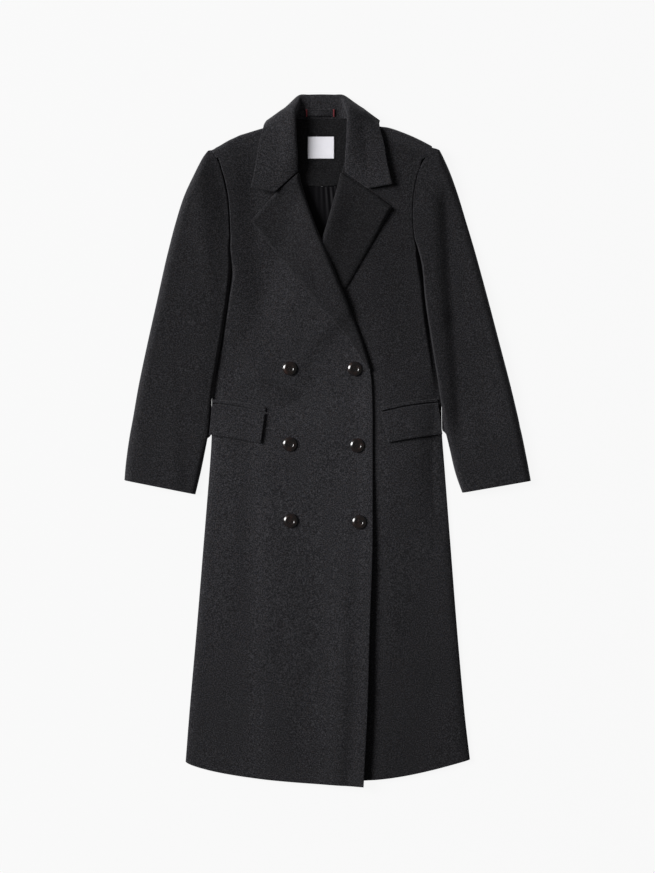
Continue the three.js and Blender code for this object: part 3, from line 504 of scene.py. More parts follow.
# %% Heights of the layers
CLOTH = 2.4             # wall of the coat cloth
DOUBLE = 3.2            # collar, lapels and flaps: two cloths pressed into one wall
SEAM = 0.3              # space between two pieces that are sewn together
SEAM_TOP = CLOTH + SEAM
PINCH = 0.6             # how far two sewn edges are drawn into each other
SKIRT_TOP, CHEST_RISE, PRESSED_TOP = 8.4, 10.0, 5.5
SIDE_RISE = {"left": 11.0, "right": 5.0}        # how the chest rises beside the sleeves
LAYER = CLOTH + 0.5     # a cloth and the play above it
BREAK = 122             # height at which the lapels start to roll
COLLAR_MIDDLE, COLLAR_LIFT = -11, 4.9


def middle_of(y):
    return -6 - 0.01 * y


def inside_brink(x, y):
    """Distance from the line where the body's side dips under a sleeve, positive inside it."""
    left, right = (look_up(BRINK, "y", side, np.clip(y, -10, 356)) for side in ("left", "right"))
    return np.where(x < middle_of(y), x - left, right - x)


def skin(x, y):
    """Upper face of a front that lies straight on the back."""
    inside = inside_brink(x, y)
    risen = smooth(60, 330, y)
    sinking = (1 - smooth(10, 100, inside)) * (1 - smooth(330, 400, y))
    beside = np.where(x < middle_of(y), SIDE_RISE["left"], SIDE_RISE["right"])
    top = SKIRT_TOP + risen * blend(CHEST_RISE, beside, sinking)
    pressed = (1 - smooth(-6, 0, inside)) * smooth(-30, 20, y) * (1 - smooth(345, 375, y))
    return blend(top, PRESSED_TOP, pressed)


def over_skin(x, y):
    """Upper face of the over front, which also covers the under front and its lapel."""
    hidden = look_up(UNDER_EDGE, "y", "x", y)
    roll = look_up(UNDER_LAPEL, "roll_y", "roll_x", y)
    edge = look_up(UNDER_LAPEL, "edge_y", "edge_x", np.minimum(y, 420))
    lapped = smooth(hidden - 50, hidden - 8, x)
    across = smooth(roll - 75, roll - 30, x) * (1 - smooth(edge + 25, edge + 70, x))
    return skin(x, y) + LAYER * lapped + (DOUBLE + 1.2) * across * smooth(85, BREAK, y)


def back_lift(x, y):
    """Lower face of the back: on the floor, but over the fall of the collar."""
    return COLLAR_LIFT * (1 - smooth(100, 150, np.abs(x - COLLAR_MIDDLE))) * smooth(420, 548, y)


def sleeve_rest(x, y, side):
    """What a sleeve lies on: the body's side, then the back's armhole, then the floor."""
    edge = look_up(BACK_BODY, "y", "left" if side < 0 else "right", np.clip(y, -584, 527))
    on_front = (1 - smooth(362, 400, y)) * smooth(-25, 15, y)
    under = blend(CLOTH + 0.4, PRESSED_TOP + 0.5, on_front) * smooth(-45, -15, y)
    return under * (1 - smooth(8, 34, (x - edge) * side))


print("skirt, chest and lapped chest:",
      [float(np.round(f(np.array(x), np.array(y)), 1))
       for f, x, y in ((skin, 0, -300), (skin, 0, 330), (over_skin, 0, 250))])

# %% [markdown]
# ## Folds
# Thick milled wool doesn't crease sharply. It rolls over in broad soft troughs and ridges, a
# finger deep at most, that run out at their ends. Each one is a row of a table: a line on the
# cloth, how far it bows, how deep it goes, and how far it reaches to its left and to its right.
# They are listed one by one, and no two are alike. A faint ripple under them keeps the flat
# stretches from looking ironed.

# %% Folds and ripple
def fold(*rows):
    return table("x1 y1 x2 y2 bow depth left right fade", rows)


def folded(folds, x, y):
    """Height that a table of folds adds at each place."""
    total = np.zeros(np.broadcast(x, y).shape)
    for x1, y1, x2, y2, bow, depth, left, right, fade in zip(*folds.values()):
        length = math.hypot(x2 - x1, y2 - y1)
        ahead = ((x2 - x1) / length, (y2 - y1) / length)
        along = ((x - x1) * ahead[0] + (y - y1) * ahead[1]) / length
        aside = (x - x1) * ahead[1] - (y - y1) * ahead[0]
        aside = aside - bow * np.sin(math.pi * np.clip(along, 0, 1))
        reach = np.where(aside < 0, left, right)
        ends = smooth(-fade, fade, along) * (1 - smooth(1 - fade, 1 + fade, along))
        total += depth * np.exp(-(aside / reach) ** 2) * ends
    return total


def ripple(x, y, height=0.3, seed=0):
    """Low uneven waves of four lengths that cross each other."""
    waves = np.random.default_rng(seed).uniform(0, 2 * math.pi, (4, 2))
    total = np.zeros(np.broadcast(x, y).shape)
    for (turn, start), length in zip(waves, (310, 190, 120, 75)):
        across = x * math.cos(turn) + y * math.sin(turn) * 0.6
        total += np.sin(across * 2 * math.pi / length + start)
    return total * height / 2


print("ripple at the middle:", round(float(ripple(np.array(0.0), np.array(0.0))), 3))

# %% [markdown]
# ## From a grid of points to a sheet of cloth
# A sheet is laid out as rows of points from a start line to an end line. Where it folds under,
# the last points go round a quarter turn. It could then get its thickness from a Solidify
# modifier, but cloth that is cut and turned has a soft, round edge. So the wall is built here:
# the grid is split into an upper and a lower face that meet in a half round along all four
# edges. The result is one closed shell, and its UV map measures metres along the cloth.

# %% Laying a panel and giving it its wall
CROWD = 0.09            # how much closer together the points lie near both edges


def laid(starts, ends, height, turns=(0, 0), lows=(0, 0), steps=(0, 40, 0), bend=None, shares=None):
    """A grid of points between two edges; turns and lows shape the folds at its two sides."""
    (ax, ay), (bx, by) = starts, ends
    span = np.hypot(bx - ax, by - ay)[:, None]
    turns = [np.broadcast_to(turn, len(ax))[:, None] for turn in turns]
    lows = [np.broadcast_to(low, len(ax))[:, None] for low in lows]
    angles = [np.arange(count) / max(count, 1) * math.pi / 2 for count in (steps[0], steps[2])]
    first = turns[0] * (1 - np.cos(angles[0]))
    even = np.linspace(0, 1, steps[1] + 1)
    crowded = even - CROWD * np.sin(2 * math.pi * even)
    middle = turns[0] + crowded * (span - turns[0] - turns[1])
    last = span - turns[1] * (1 - np.cos(angles[1][::-1]))
    far = np.concatenate([first, middle, last], axis=1) / span
    rise = np.concatenate([np.sin(angles[0]), np.ones(steps[1] + 1), np.sin(angles[1][::-1])])
    low = np.where(np.arange(far.shape[1]) > steps[0] + steps[1], lows[1], lows[0])
    x = blend(ax[:, None], bx[:, None], far)
    y = blend(ay[:, None], by[:, None], far)
    if bend is not None:
        y = y + bend(x, y, far, shares[:, None])
    z = blend(low, height(x, y), rise)
    return np.stack([x, y, z], axis=-1)


def normals_of(points):
    across = np.gradient(points, axis=1)
    along = np.gradient(points, axis=0)
    normal = np.cross(across, along)
    return normal / np.maximum(np.linalg.norm(normal, axis=-1, keepdims=True), 1e-9)


RIM = [math.radians(angle) for angle in (22.5, 45, 67.5, 90)]


def rimmed(points, radius):
    """Adds lines close to the first and last row, where the edge turns round; and its share."""
    lines, share = [points[0]], [0.0]
    for angle in RIM:
        lines.append(inward(points[0], points[1], radius * (1 - math.cos(angle))))
        share.append(math.sin(angle))
    lines += list(points[1:-1])
    share += [1.0] * (len(points) - 2)
    for angle in RIM[::-1]:
        lines.append(inward(points[-1], points[-2], radius * (1 - math.cos(angle))))
        share.append(math.sin(angle))
    return np.array(lines + [points[-1]]), np.array(share + [0.0])


def inward(edge, inside, distance):
    step = np.linalg.norm(inside - edge, axis=-1, keepdims=True)
    return blend(edge, inside, np.minimum(distance / np.maximum(step, 1e-6), 0.9))


def shell(name, points, thick, material, floor=None, flip=False):
    """A closed sheet with round edges whose upper face is the grid; floor keeps it up."""
    points, down = rimmed(points, thick / 2)
    points, across = rimmed(points.transpose(1, 0, 2), thick / 2)
    points = points.transpose(1, 0, 2)
    normal = normals_of(points) * (-1 if flip else 1)
    half = thick / 2 * np.minimum.outer(down, across)[..., None]
    centre = points - normal * thick / 2
    faces = [centre + normal * half, centre - normal * half]
    if floor is not None:
        faces[1][..., 2] = np.maximum(faces[1][..., 2], floor(faces[1][..., 0], faces[1][..., 1]))
    rows, columns = points.shape[:2]
    top = np.arange(rows * columns).reshape(rows, columns)
    inner = np.zeros((rows, columns), bool)
    inner[1:-1, 1:-1] = True
    low = top.copy()
    low[inner] = rows * columns + np.arange(inner.sum())
    corners = np.concatenate([faces[0].reshape(-1, 3), faces[1][inner]])
    quads = np.concatenate([quads_of(top), quads_of(low)[:, ::-1]])
    if flip:
        quads = quads[:, ::-1]
    return sheet_object(name, corners, quads, metres_along(points, top, low), material)


def quads_of(index):
    a, b, c, d = index[:-1, :-1], index[:-1, 1:], index[1:, 1:], index[1:, :-1]
    return np.stack([a, b, c, d], axis=-1).reshape(-1, 4)


def metres_along(points, top, low):
    """UV of each corner, measured along the middle row and down the middle column."""
    rows, columns = points.shape[:2]
    steps = np.linalg.norm(np.diff(points, axis=1), axis=-1)
    u = np.concatenate([np.zeros((rows, 1)), np.cumsum(steps, axis=1)], axis=1)
    u -= u[:, columns // 2][:, None]
    middle = points[:, columns // 2]
    v = np.concatenate([[0], np.cumsum(np.linalg.norm(np.diff(middle, axis=0), axis=-1))])
    uv = np.zeros((max(top.max(), low.max()) + 1, 2))
    flat = np.stack([u, np.broadcast_to(v[:, None], u.shape)], axis=-1)
    uv[low] = flat
    uv[top] = flat
    return uv * MM


def sheet_object(name, corners, quads, uv, material):
    mesh = bpy.data.meshes.new(name)
    mesh.vertices.add(len(corners))
    mesh.vertices.foreach_set("co", (corners * MM).astype(np.float32).ravel())
    mesh.loops.add(quads.size)
    mesh.loops.foreach_set("vertex_index", quads.astype(np.int32).ravel())
    mesh.polygons.add(len(quads))
    mesh.polygons.foreach_set("loop_start", np.arange(0, quads.size, 4, dtype=np.int32))
    mesh.update(calc_edges=True)
    mesh.polygons.foreach_set("use_smooth", np.ones(len(quads), bool))
    layer = mesh.uv_layers.new(name="cloth")
    layer.data.foreach_set("uv", uv[quads.ravel()].astype(np.float32).ravel())
    mesh.materials.append(material)
    mesh.validate()
    piece = bpy.data.objects.new(name, mesh)
    bpy.context.scene.collection.objects.link(piece)
    return piece


def belongs(piece, slot, *nodes):
    """Puts a piece on the root body and hides the nodes it stands for. The slot is not used."""
    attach(piece, "root")
    if nodes:
        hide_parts(*nodes)


def highest(piece):
    return round(max(vertex.co.z for vertex in piece.data.vertices) / MM, 1)
# %% [markdown]
# ## The two fronts
# Each front is one cloth from the shoulder seam to the hem. The under front lies on the back and
# the over front laps across it by a hand's width. The side folds down on to the back in a soft
# roll, and the hem hangs in a shallow curve. The free edge of the over front is thick, with the
# facing turned in behind it, so it stands off and a dark gap opens beside it. A cloth simulation
# would settle such a panel flat and lose that; the heights are given instead.

# %% Folds of the fronts
OVER_FOLDS = fold(
    [-110, 250, -130, 520, -4, -12, 40, 110, 0.25],      # from the collar past the lapel's tip
    [-76, 40, -108, 250, 0, -8, 50, 100, 0.3],       # and on towards the waist
    [-20, -90, -80, 60, -4, -1, 50, 90, 0.4],
    [-196, 60, -176, -240, -6, 1.0, 26, 30, 0.3],
    [-150, -60, -120, -330, 10, -0.9, 30, 34, 0.35],
    [-30, -180, -2, -420, 8, -0.8, 22, 26, 0.35],
    [-90, -420, -110, -600, -8, 0.9, 30, 34, 0.35],
    [-28, -440, -36, -560, 5, -0.9, 20, 26, 0.3],
    [-176, -330, -190, -560, 0, -0.7, 26, 30, 0.3])
UNDER_FOLDS = fold(
    [212, -150, 214, 110, -3, -7, 30, 30, 0.2],        # the side sinks round the pocket
    [128, -130, 122, 250, 0, 4, 70, 80, 0.3],
    [120, -160, 136, -420, 6, 0.8, 26, 26, 0.35],
    [176, -260, 196, -520, -4, -0.8, 26, 22, 0.35],
    [110, 240, 96, 110, 0, 0.8, 18, 22, 0.3])

# The over front's edge: a ridge runs beside it, and the edge itself stands off the layer below
EDGE = table("y ridge stand dip", [
    [-640, 5.0, 7.5, 3.0], [-480, 5.5, 7.0, 3.0], [-340, 4.6, 5.5, 2.6], [-200, 2.0, 4.0, 2.0],
    [-60, 0.6, 3.0, 1.4], [60, 0.3, 3.0, 1.4], [128, 0.4, 3.0, 1.4], [200, 0, 1.5, 1.0],
    [600, 0, 0, 0]])
RIDGE_INSIDE = 45       # from the edge to the ridge


def beside_edge(x, y):
    """Distance from the over front's edge, positive to its left."""
    return look_up(OVER_EDGE, "y", "x", y) - x


def over_base(x, y):
    """The over front without its chest folds."""
    inside = beside_edge(x, y)
    ridge = np.exp(-((inside - RIDGE_INSIDE) / np.where(inside > RIDGE_INSIDE, 34, 24)) ** 2)
    stand = 1 - smooth(0, 36, inside)
    raised = look_up(EDGE, "y", "ridge", y) * ridge + look_up(EDGE, "y", "stand", y) * stand
    return over_skin(x, y) + ripple(x, y, 0.35, 3) + raised


def over_top(x, y):
    return over_base(x, y) + folded(OVER_FOLDS, x, y)


def lapel_base(x, y):
    """What the over lapel lies on: it bridges the chest's fold where the collar holds it up."""
    return over_base(x, y) + folded(OVER_FOLDS, x, y) * (1 - smooth(425, 480, y))


def under_top(x, y):
    beyond = -beside_edge(x, y)
    dip = np.exp(-(np.maximum(beyond - 4, 0) / 16) ** 2) * smooth(-60, -10, beyond)
    low = look_up(EDGE, "y", "dip", y) * dip
    pressed_in = folded(OVER_FOLDS, x, y) * (1 - smooth(-40, 0, beyond))
    wanted = skin(x, y) + folded(UNDER_FOLDS, x, y) + pressed_in + ripple(x, y, 0.3, 5) - low
    return np.maximum(wanted, SEAM_TOP + CLOTH + 0.1)


at_hem = look_up(EDGE, "y", "stand", -600.0)
print("edge stands off at the hem by", float(np.round(at_hem, 1)), "mm")

# %% Front sheets
ROWS_OF_FRONT = 236
SIDE_TURN = 17          # reach of the soft fold at the body's side
# Reach and depth of the roll into the armhole seam
ARMHOLE_TURN = {-1: (1.6, 5.5), 1: (2, 1.6)}


def side_low(x, y, side):
    return blend(SEAM_TOP, skin(x, y) - ARMHOLE_TURN[side][1], smooth(286, 350, y))


def front_bend(drop, shares, x, y):
    """The hem hangs in a curve, and the top edge follows the shoulder seam."""
    seam = look_up(SHOULDER, "x", "seam", x) + PINCH
    return -drop * (1 - smooth(0, 0.09, shares)) + (seam - y) * smooth(0.95, 1, shares)


def over_bend(x, y, far, shares):
    return front_bend(12.3 * np.sin(math.pi * far ** 0.65), shares, x, y)


def under_bend(x, y, far, shares):
    return front_bend(24 * np.sin(math.pi * far), shares, x, y)


def to_armhole(points, side):
    """Above the side seam's top the panel's corner follows the sleeve head outwards."""
    x, y = points[:, 0 if side < 0 else -1, :2].T
    beyond = np.where(y > BODY["y"][-1], armhole(y, side) - x, 0)
    away = np.abs(points[..., 0] - x[:, None])
    points[..., 0] += beyond[:, None] * (1 - smooth(0, 30, away))
    return points


def front(name, edge, side_column, height, bend, side, material):
    levels = np.linspace(edge["side"][0], edge["side"][-1], ROWS_OF_FRONT)
    shares = share_at(edge, "side", levels)
    y = read(edge, "side", shares)
    side_line = (read(BODY, side_column, shares), y)
    edge_line = (read(edge, "x", shares), read(edge, "y", shares))
    low = side_low(*side_line, side)
    turn = blend(SIDE_TURN, ARMHOLE_TURN[side][0], smooth(300, 356, y))
    if side < 0:
        points = laid(side_line, edge_line, height, (turn, 0), (low, 0), (7, 84, 0), bend, shares)
    else:
        points = laid(edge_line, side_line, height, (0, turn), (0, low), (0, 84, 7), bend, shares)
    return shell(name, to_armhole(points, side), CLOTH, material, lambda x, y: SEAM_TOP)


over_front = front("over_front", OVER_EDGE, "left", over_top, over_bend, -1, WOOL["over"])
under_front = front("under_front", UNDER_EDGE, "right", under_top, under_bend, 1, WOOL["under"])
for piece, node in ((over_front, "front_over"), (under_front, "front_under")):
    belongs(piece, "coat_cloth", node + "_skirt", node + "_waist", node + "_chest")
    print(piece.name, "has", len(piece.data.polygons), "faces")

# %% [markdown]
# ## Lapels
# A lapel is the facing of the front, turned back at the roll line. The cloth doesn't crease
# there: it swells up towards the roll and then goes round it in a curve as thick as a finger.
# Away from the roll it lies on the front, and its tip stands a little proud. The sheet runs from
# the roll to the outer edge and follows the height of the front below.

# %% Lapel sheets
LAPEL_SWELL = {"high": 5.0, "reach": 50}        # rise towards the roll
LAPEL_RIM = {"high": 0.4, "inside": 9, "reach": 8}   # the outer edge stands a little proud
ROLL_TURN, EDGE_TURN = 9, 9     # reach of the curves at the roll and at the outer edge
LAPEL_ROWS = 161


def lapel(name, rows, base, under, side, play, tip, material):
    shares = np.linspace(0, 1, LAPEL_ROWS)
    roll = (read(rows, "roll_x", shares), read(rows, "roll_y", shares))
    edge = (read(rows, "edge_x", shares, True), read(rows, "edge_y", shares, True))
    room = np.hypot(edge[0] - roll[0], edge[1] - roll[1])
    swelling = LAPEL_SWELL["high"] * smooth(10, 120, room)

    def height(x, y):
        away = np.hypot(x - roll[0][:, None], y - roll[1][:, None])
        swell = swelling[:, None] * (1 - smooth(6, LAPEL_SWELL["reach"], away))
        proud = tip["rise"] * np.exp(-(np.hypot(x - tip["x"], y - tip["y"]) / tip["reach"]) ** 2)
        beside = np.hypot(x - edge[0][:, None], y - edge[1][:, None]) - LAPEL_RIM["inside"]
        rim = LAPEL_RIM["high"] * np.exp(-(beside / LAPEL_RIM["reach"]) ** 2)
        return base(x, y) + DOUBLE + play + swell + proud + rim * smooth(20, 90, room)[:, None]

    roll_turn = np.minimum(ROLL_TURN, room / 3)
    edge_turn = np.minimum(EDGE_TURN, room / 6)
    roll_low = under(*roll) - 1.0
    edge_low = under(*edge) + play + 0.4
    if side < 0:
        points = laid(edge, roll, height, (edge_turn, roll_turn), (edge_low, roll_low), (5, 44, 7))
    else:
        points = laid(roll, edge, height, (roll_turn, edge_turn), (roll_low, edge_low), (7, 44, 5))
    return shell(name, points, DOUBLE, material, lambda x, y: under(x, y) + play / 2)


OVER_TIP = {"x": -141, "y": 402, "rise": 1.0, "reach": 34}
UNDER_TIP = {"x": 118, "y": 426, "rise": 5.0, "reach": 46}
over_lapel = lapel("over_lapel", OVER_LAPEL, lapel_base, over_top, -1, 0.6, OVER_TIP, WOOL["lapel"])
under_lapel = lapel("under_lapel", UNDER_LAPEL, under_top, under_top, 1, 0.5, UNDER_TIP,
                    WOOL["turned"])
for piece, node in ((over_lapel, "lapel_over"), (under_lapel, "lapel_under")):
    belongs(piece, "coat_cloth", node)
    print(piece.name, "rises to", highest(piece), "mm")

# %% [markdown]
# ## Sleeves
# A tailored sleeve has two panels. The top sleeve is the wide one that shows; the under sleeve is
# hidden below it and closes the tube. Lying flat, the tube is a low hollow with soft folds along
# both sides. Each sleeve has its own long troughs, where the elbow bends and where it was pressed.

# %% Sleeve sheets
LEFT_FOLDS = fold(
    [-232, 500, -214, 300, 6, 1.6, 12, 16, 0.25],       # ridge below the sleeve head
    [-268, 120, -262, -110, -4, -1.6, 22, 14, 0.3],
    [-252, 380, -262, 140, 10, -0.8, 18, 22, 0.35],
    [-330, 60, -345, -90, 2, 0.7, 16, 14, 0.3],
    [-212, 260, -236, 40, -5, 0.7, 12, 14, 0.3])
RIGHT_FOLDS = fold(
    [233.5, 205, 219, 450, -1, -9.5, 17, 80, 0.12],       # a step runs down from the sleeve head
    [247, 20, 233.5, 215, 0, -8.5, 17, 80, 0.22],
    [290, 330, 318, 120, 0, 0.6, 20, 18, 0.35],
    [262, 60, 300, -90, 0, 0.8, 18, 18, 0.35])
SLEEVE_TURN = 15        # reach of the roll at the outer side
SLEEVE_ROWS = 150
INNER_ROLL = {"left": (6, 11), "right": (3, 10)}       # at the chest and at the cuff
SEAM_ROLL = {"left": (3.5, 7), "right": (2, 0.8)}     # reach and depth at the armhole seam
INNER_FALL = {"left": (3, 11), "right": (0, 0)}     # how the sleeve sinks towards the body
SLEEVE_SIDES = {"left": (LEFT_SLEEVE, -1, LEFT_FOLDS), "right": (RIGHT_SLEEVE, 1, RIGHT_FOLDS)}
FALL_REACH = 31
TUCK = 2.3              # how far the sleeve head runs in below the shoulder seam
UNDER_FLANK = 1         # how far the under sleeve aims to reach in past the body's side
SHUT_OVER = {-1: (2, 11), 1: (11, 20)}      # heights where the gap beside the body closes
ON_ARMHOLE = (350, 372)     # heights between which the inner line joins the armhole seam


def sleeve_lines(rows):
    levels = np.linspace(rows["y"][0], rows["y"][-1], SLEEVE_ROWS)
    shares = share_at(rows, "y", levels)
    y = read(rows, "y", shares)
    inner_x = read(rows, "inner", shares)
    side = math.copysign(1, inner_x[0])
    seam_x = armhole(y, side) + side * blend(SEAM, -TUCK, smooth(485, 510, y))
    inner = (blend(inner_x, seam_x, smooth(*ON_ARMHOLE, y)), y)
    outer = (read(rows, "outer", shares), y + read(rows, "tilt", shares))
    return inner, outer, read(rows, "crown", shares)


def top_sleeve(name, rows, hand, side, folds):
    inner, outer, crown = sleeve_lines(rows)
    room = np.hypot(outer[0] - inner[0], outer[1] - inner[1])
    clear = CLOTH + SEAM + 0.2
    rest = [sleeve_rest(*line, side) + clear for line in (inner, outer)]
    seamed = smooth(340, 380, inner[1])
    roll = blend(*INNER_ROLL[hand][::-1], smooth(0, 110, inner[1]))
    roll = np.minimum(blend(roll, SEAM_ROLL[hand][0], seamed), room / 3)
    fall = blend(*INNER_FALL[hand], smooth(300, 440, inner[1])) * smooth(10, 60, room)
    at_armhole = np.maximum(rest[0], crown - fall - SEAM_ROLL[hand][1])

    def height(x, y):
        sinking = fall[:, None] * np.exp(-((x - inner[0][:, None]) / FALL_REACH) ** 2)
        return crown[:, None] - sinking + folded(folds, x, y) + ripple(x, y, 0.4, 7)

    points = laid(inner, outer, height, (roll, np.minimum(SLEEVE_TURN, room / 3)),
                  (blend(rest[0], at_armhole, seamed), rest[1]), (7, 40, 7))
    return shell(name, points, CLOTH, WOOL["sleeve"],
                 lambda x, y: sleeve_rest(x, y, side) + clear, side > 0)


def under_sleeve(name, rows, side):
    """The panel underneath; above the pockets it reaches in towards the body's side."""
    inner, outer, _ = sleeve_lines(rows)
    flank = look_up(BODY, "y", "left" if side < 0 else "right", inner[1])
    reached = side * np.minimum(side * inner[0], side * flank - UNDER_FLANK)
    inner = (blend(inner[0], reached, smooth(*SHUT_OVER[side], inner[1])), inner[1])
    room = np.hypot(outer[0] - inner[0], outer[1] - inner[1])
    inset = np.minimum(1, room / 20) / room
    starts = [blend(a, b, inset) for a, b in zip(inner, outer)]
    ends = [blend(b, a, inset) for a, b in zip(inner, outer)]
    points = laid(starts, ends, lambda x, y: sleeve_rest(x, y, side) + CLOTH, steps=(0, 30, 0))
    return shell(name, points, CLOTH, WOOL["back"], lambda x, y: 0 * x, side > 0)


for hand, (rows, side, folds) in SLEEVE_SIDES.items():
    top = top_sleeve("top_sleeve_cloth_" + hand, rows, hand, side, folds)
    under = under_sleeve("under_sleeve_cloth_" + hand, rows, side)
    belongs(top, "coat_cloth", *(f"top_sleeve_{hand}_{part}" for part in ("head", "elbow", "cuff")))
    belongs(under, "coat_cloth", "under_sleeve_" + hand)
    print(top.name, "rises to", highest(top), "mm")
# %% [markdown]
# ## Back
# The back is two halves joined down the middle. It lies flat on the floor under everything, and
# at the shoulders it rolls over the ridge and comes down the front side to the shoulder seam.
# Each half is one sheet: rows run up the flat back and then on round the shoulder. The seam
# allowances are pressed open, which leaves a shallow groove with a soft ridge on both sides.

# %% Back sheets
NECK_EDGE = 586.6
TURN_STEPS, BAND_STEPS = 6, 2           # the path over the shoulder, in steps of its own
BACK_FOLDS = fold(
    [-150, -80, -170, -420, 8, 1.0, 26, 30, 0.3],
    [120, -140, 150, -460, -8, 1.1, 28, 26, 0.3],
    [-90, 250, -60, 60, 6, 0.8, 20, 24, 0.3],
    [96, 300, 120, 130, 0, 0.9, 22, 20, 0.3],
    [-40, -260, -60, -540, 4, 0.8, 24, 26, 0.3])


def crease_up(x, y, folds, seed):
    """Shallow folds of a lower face, which can only rise off the floor."""
    return np.maximum(folded(folds, x, y) + ripple(x, y, 0.5, seed) - 0.2, 0)


def back_low(x, y):
    off_edges = smooth(0, 40, np.abs(x - look_up(BACK_BODY, "y", "left", y)))
    off_edges = off_edges * smooth(0, 40, np.abs(look_up(BACK_BODY, "y", "right", y) - x))
    inside = off_edges * smooth(-600, -540, y) * (1 - smooth(300, 380, y))
    groove = 0.8 * np.exp(-((np.abs(x - middle_of(y)) - 5) / 4) ** 2)
    return back_lift(x, y) + (crease_up(x, y, BACK_FOLDS, 11) + groove) * inside


def over_shoulder(x, k):
    """Path of a strip of the back round the shoulder, or straight up to the neck."""
    low = back_lift(x, 560.0)
    seam = look_up(SHOULDER, "x", "seam", x)
    high = skin(x, seam) + folded(OVER_FOLDS, x, seam) * (x < COLLAR_MIDDLE) - SEAM
    radius = (high - low) / 2
    turn_y = look_up(SHOULDER, "x", "ridge", x) - radius
    angle = (np.minimum(k / TURN_STEPS, 1) - 0.5) * math.pi
    band = np.maximum(k - TURN_STEPS, 0) / BAND_STEPS
    y = np.where(k <= TURN_STEPS, turn_y + radius * np.cos(angle), blend(turn_y, seam + SEAM, band))
    z = np.where(k <= TURN_STEPS, low + radius * (1 + np.sin(angle)), high)
    to_shoulder = smooth(56, 70, np.abs(x - COLLAR_MIDDLE))
    neck_y = blend(turn_y, NECK_EDGE, k / (TURN_STEPS + BAND_STEPS))
    return blend(neck_y, y, to_shoulder), blend(low, z, to_shoulder)


def back_half(name, side, columns=44):
    column = "left" if side < 0 else "right"
    levels = np.linspace(-584, look_up(BACK_BODY, "y", "y", 505.0), 180)
    shares = share_at(BACK_BODY, "y", levels)[:, None]
    along = np.linspace(0, 1, columns + 1)[None, :]
    y = read(BACK_BODY, "y", shares)
    seam_x = middle_of(y) + side * SEAM / 2
    x = blend(read(BACK_BODY, column, shares), seam_x, along)
    hem = 35 * along + 9 * np.sin(math.pi * along)
    y = y - hem * (1 - smooth(0, 0.12, shares)) + 26 * along * smooth(0.8, 1, shares)
    flat = np.stack([x, y, back_low(x, y)], axis=-1)
    steps = np.linspace(0, TURN_STEPS + BAND_STEPS, 33)[:, None]
    tip = read(BACK_BODY, column, np.array([1.0]))
    tip = tip + 0 * steps
    for _ in range(4):      # the armhole slants, so its place and its height are found together
        tip_y, _ = over_shoulder(tip, steps)
        tip = armhole(tip_y, side)
    top_x = blend(tip, middle_of(560) + side * SEAM / 2, along)
    top_y, top_z = over_shoulder(top_x, steps)
    over = np.stack([top_x, top_y, top_z], axis=-1)
    between = [blend(flat[-1], over[0], share) for share in np.linspace(0, 1, 8)[1:-1]]
    points = np.concatenate([flat, np.array(between), over])
    return shell(name, points, CLOTH, WOOL["back"], flip=side < 0)      # outer face: the grid


for hand, side in (("left", -1), ("right", 1)):
    half = back_half("back_cloth_" + hand, side)
    belongs(half, "coat_cloth", f"back_{hand}", f"back_{hand}_shoulder")
    print(half.name, "has", len(half.data.polygons), "faces")

# %% [markdown]
# ## Collar
# The collar is one cloth that stands up round the neck, turns over at its crest and falls on the
# shoulders, down to the points where the lapels meet it. Each row of its table is a station from
# the gorge round to the centre back, with six points across: seam, stand, crest, crown, bend and
# edge. A smooth curve runs through them. The whole collar is mirrored about the centre back, but
# its two ends were never laid alike, so the right one stands off a little more.

# %% Collar sheet
COLLAR_POINTS = ("seam", "stand", "crest", "crown", "bend", "edge")
COLLAR = [
    ((-56, 490, 18.9), (-54, 491, 20.2), (-53.5, 491, 22),
     (-58, 487.5, 23.6), (-96, 454, 22.9), (-140, 462, 22.7)),
    ((-61, 520, 18.9), (-56, 519, 24), (-54, 518, 28),
     (-59, 517, 31), (-95, 500, 25.5), (-131.5, 503, 23)),
    ((-67, 548, 18.9), (-59, 547, 26), (-56, 547, 31.5),
     (-61, 547, 34.5), (-92, 542, 27.5), (-126, 540, 23.4)),
    ((-73, 574, 18.9), (-62, 576, 27), (-57, 577, 33),
     (-62, 578, 36), (-91, 577, 28.5), (-119, 568, 23.5)),
    ((-68, 584, 17), (-61, 592, 25), (-57, 598, 32),
     (-61, 601, 34.5), (-89, 598, 24), (-116, 580, 13)),
    ((-57, 587, 12), (-54, 600, 17.5), (-53, 618, 22),
     (-58, 621, 20), (-82, 607, 9), (-109, 586, 1)),
    ((-46, 587, 9.6), (-46, 606, 13.5), (-49, 631, 13),
     (-54, 632, 4.6), (-68, 614, 0.2), (-90, 566, 0)),
    ((-32, 587, 9.6), (-32, 608, 13.5), (-33, 633, 9),
     (-34, 632, 1.6), (-38, 605, 0), (-46, 554, 0)),
    ((-11, 587, 9.6), (-11, 608, 13.5), (-11, 633.8, 8.6),
     (-11, 631, 1.4), (-11, 604, 0), (-11, 553, 0))]
COLLAR_FULLER = (0, 0, 0, 0, 1.5, 8, 5, 0, 0)     # how much further out the right fall reaches
STANDS_OFF = {-1: (0.0, 1.5), 1: (2.0, 6.0)}       # lift of the bend and of the edge at each end
GORGE_LIFT = 6


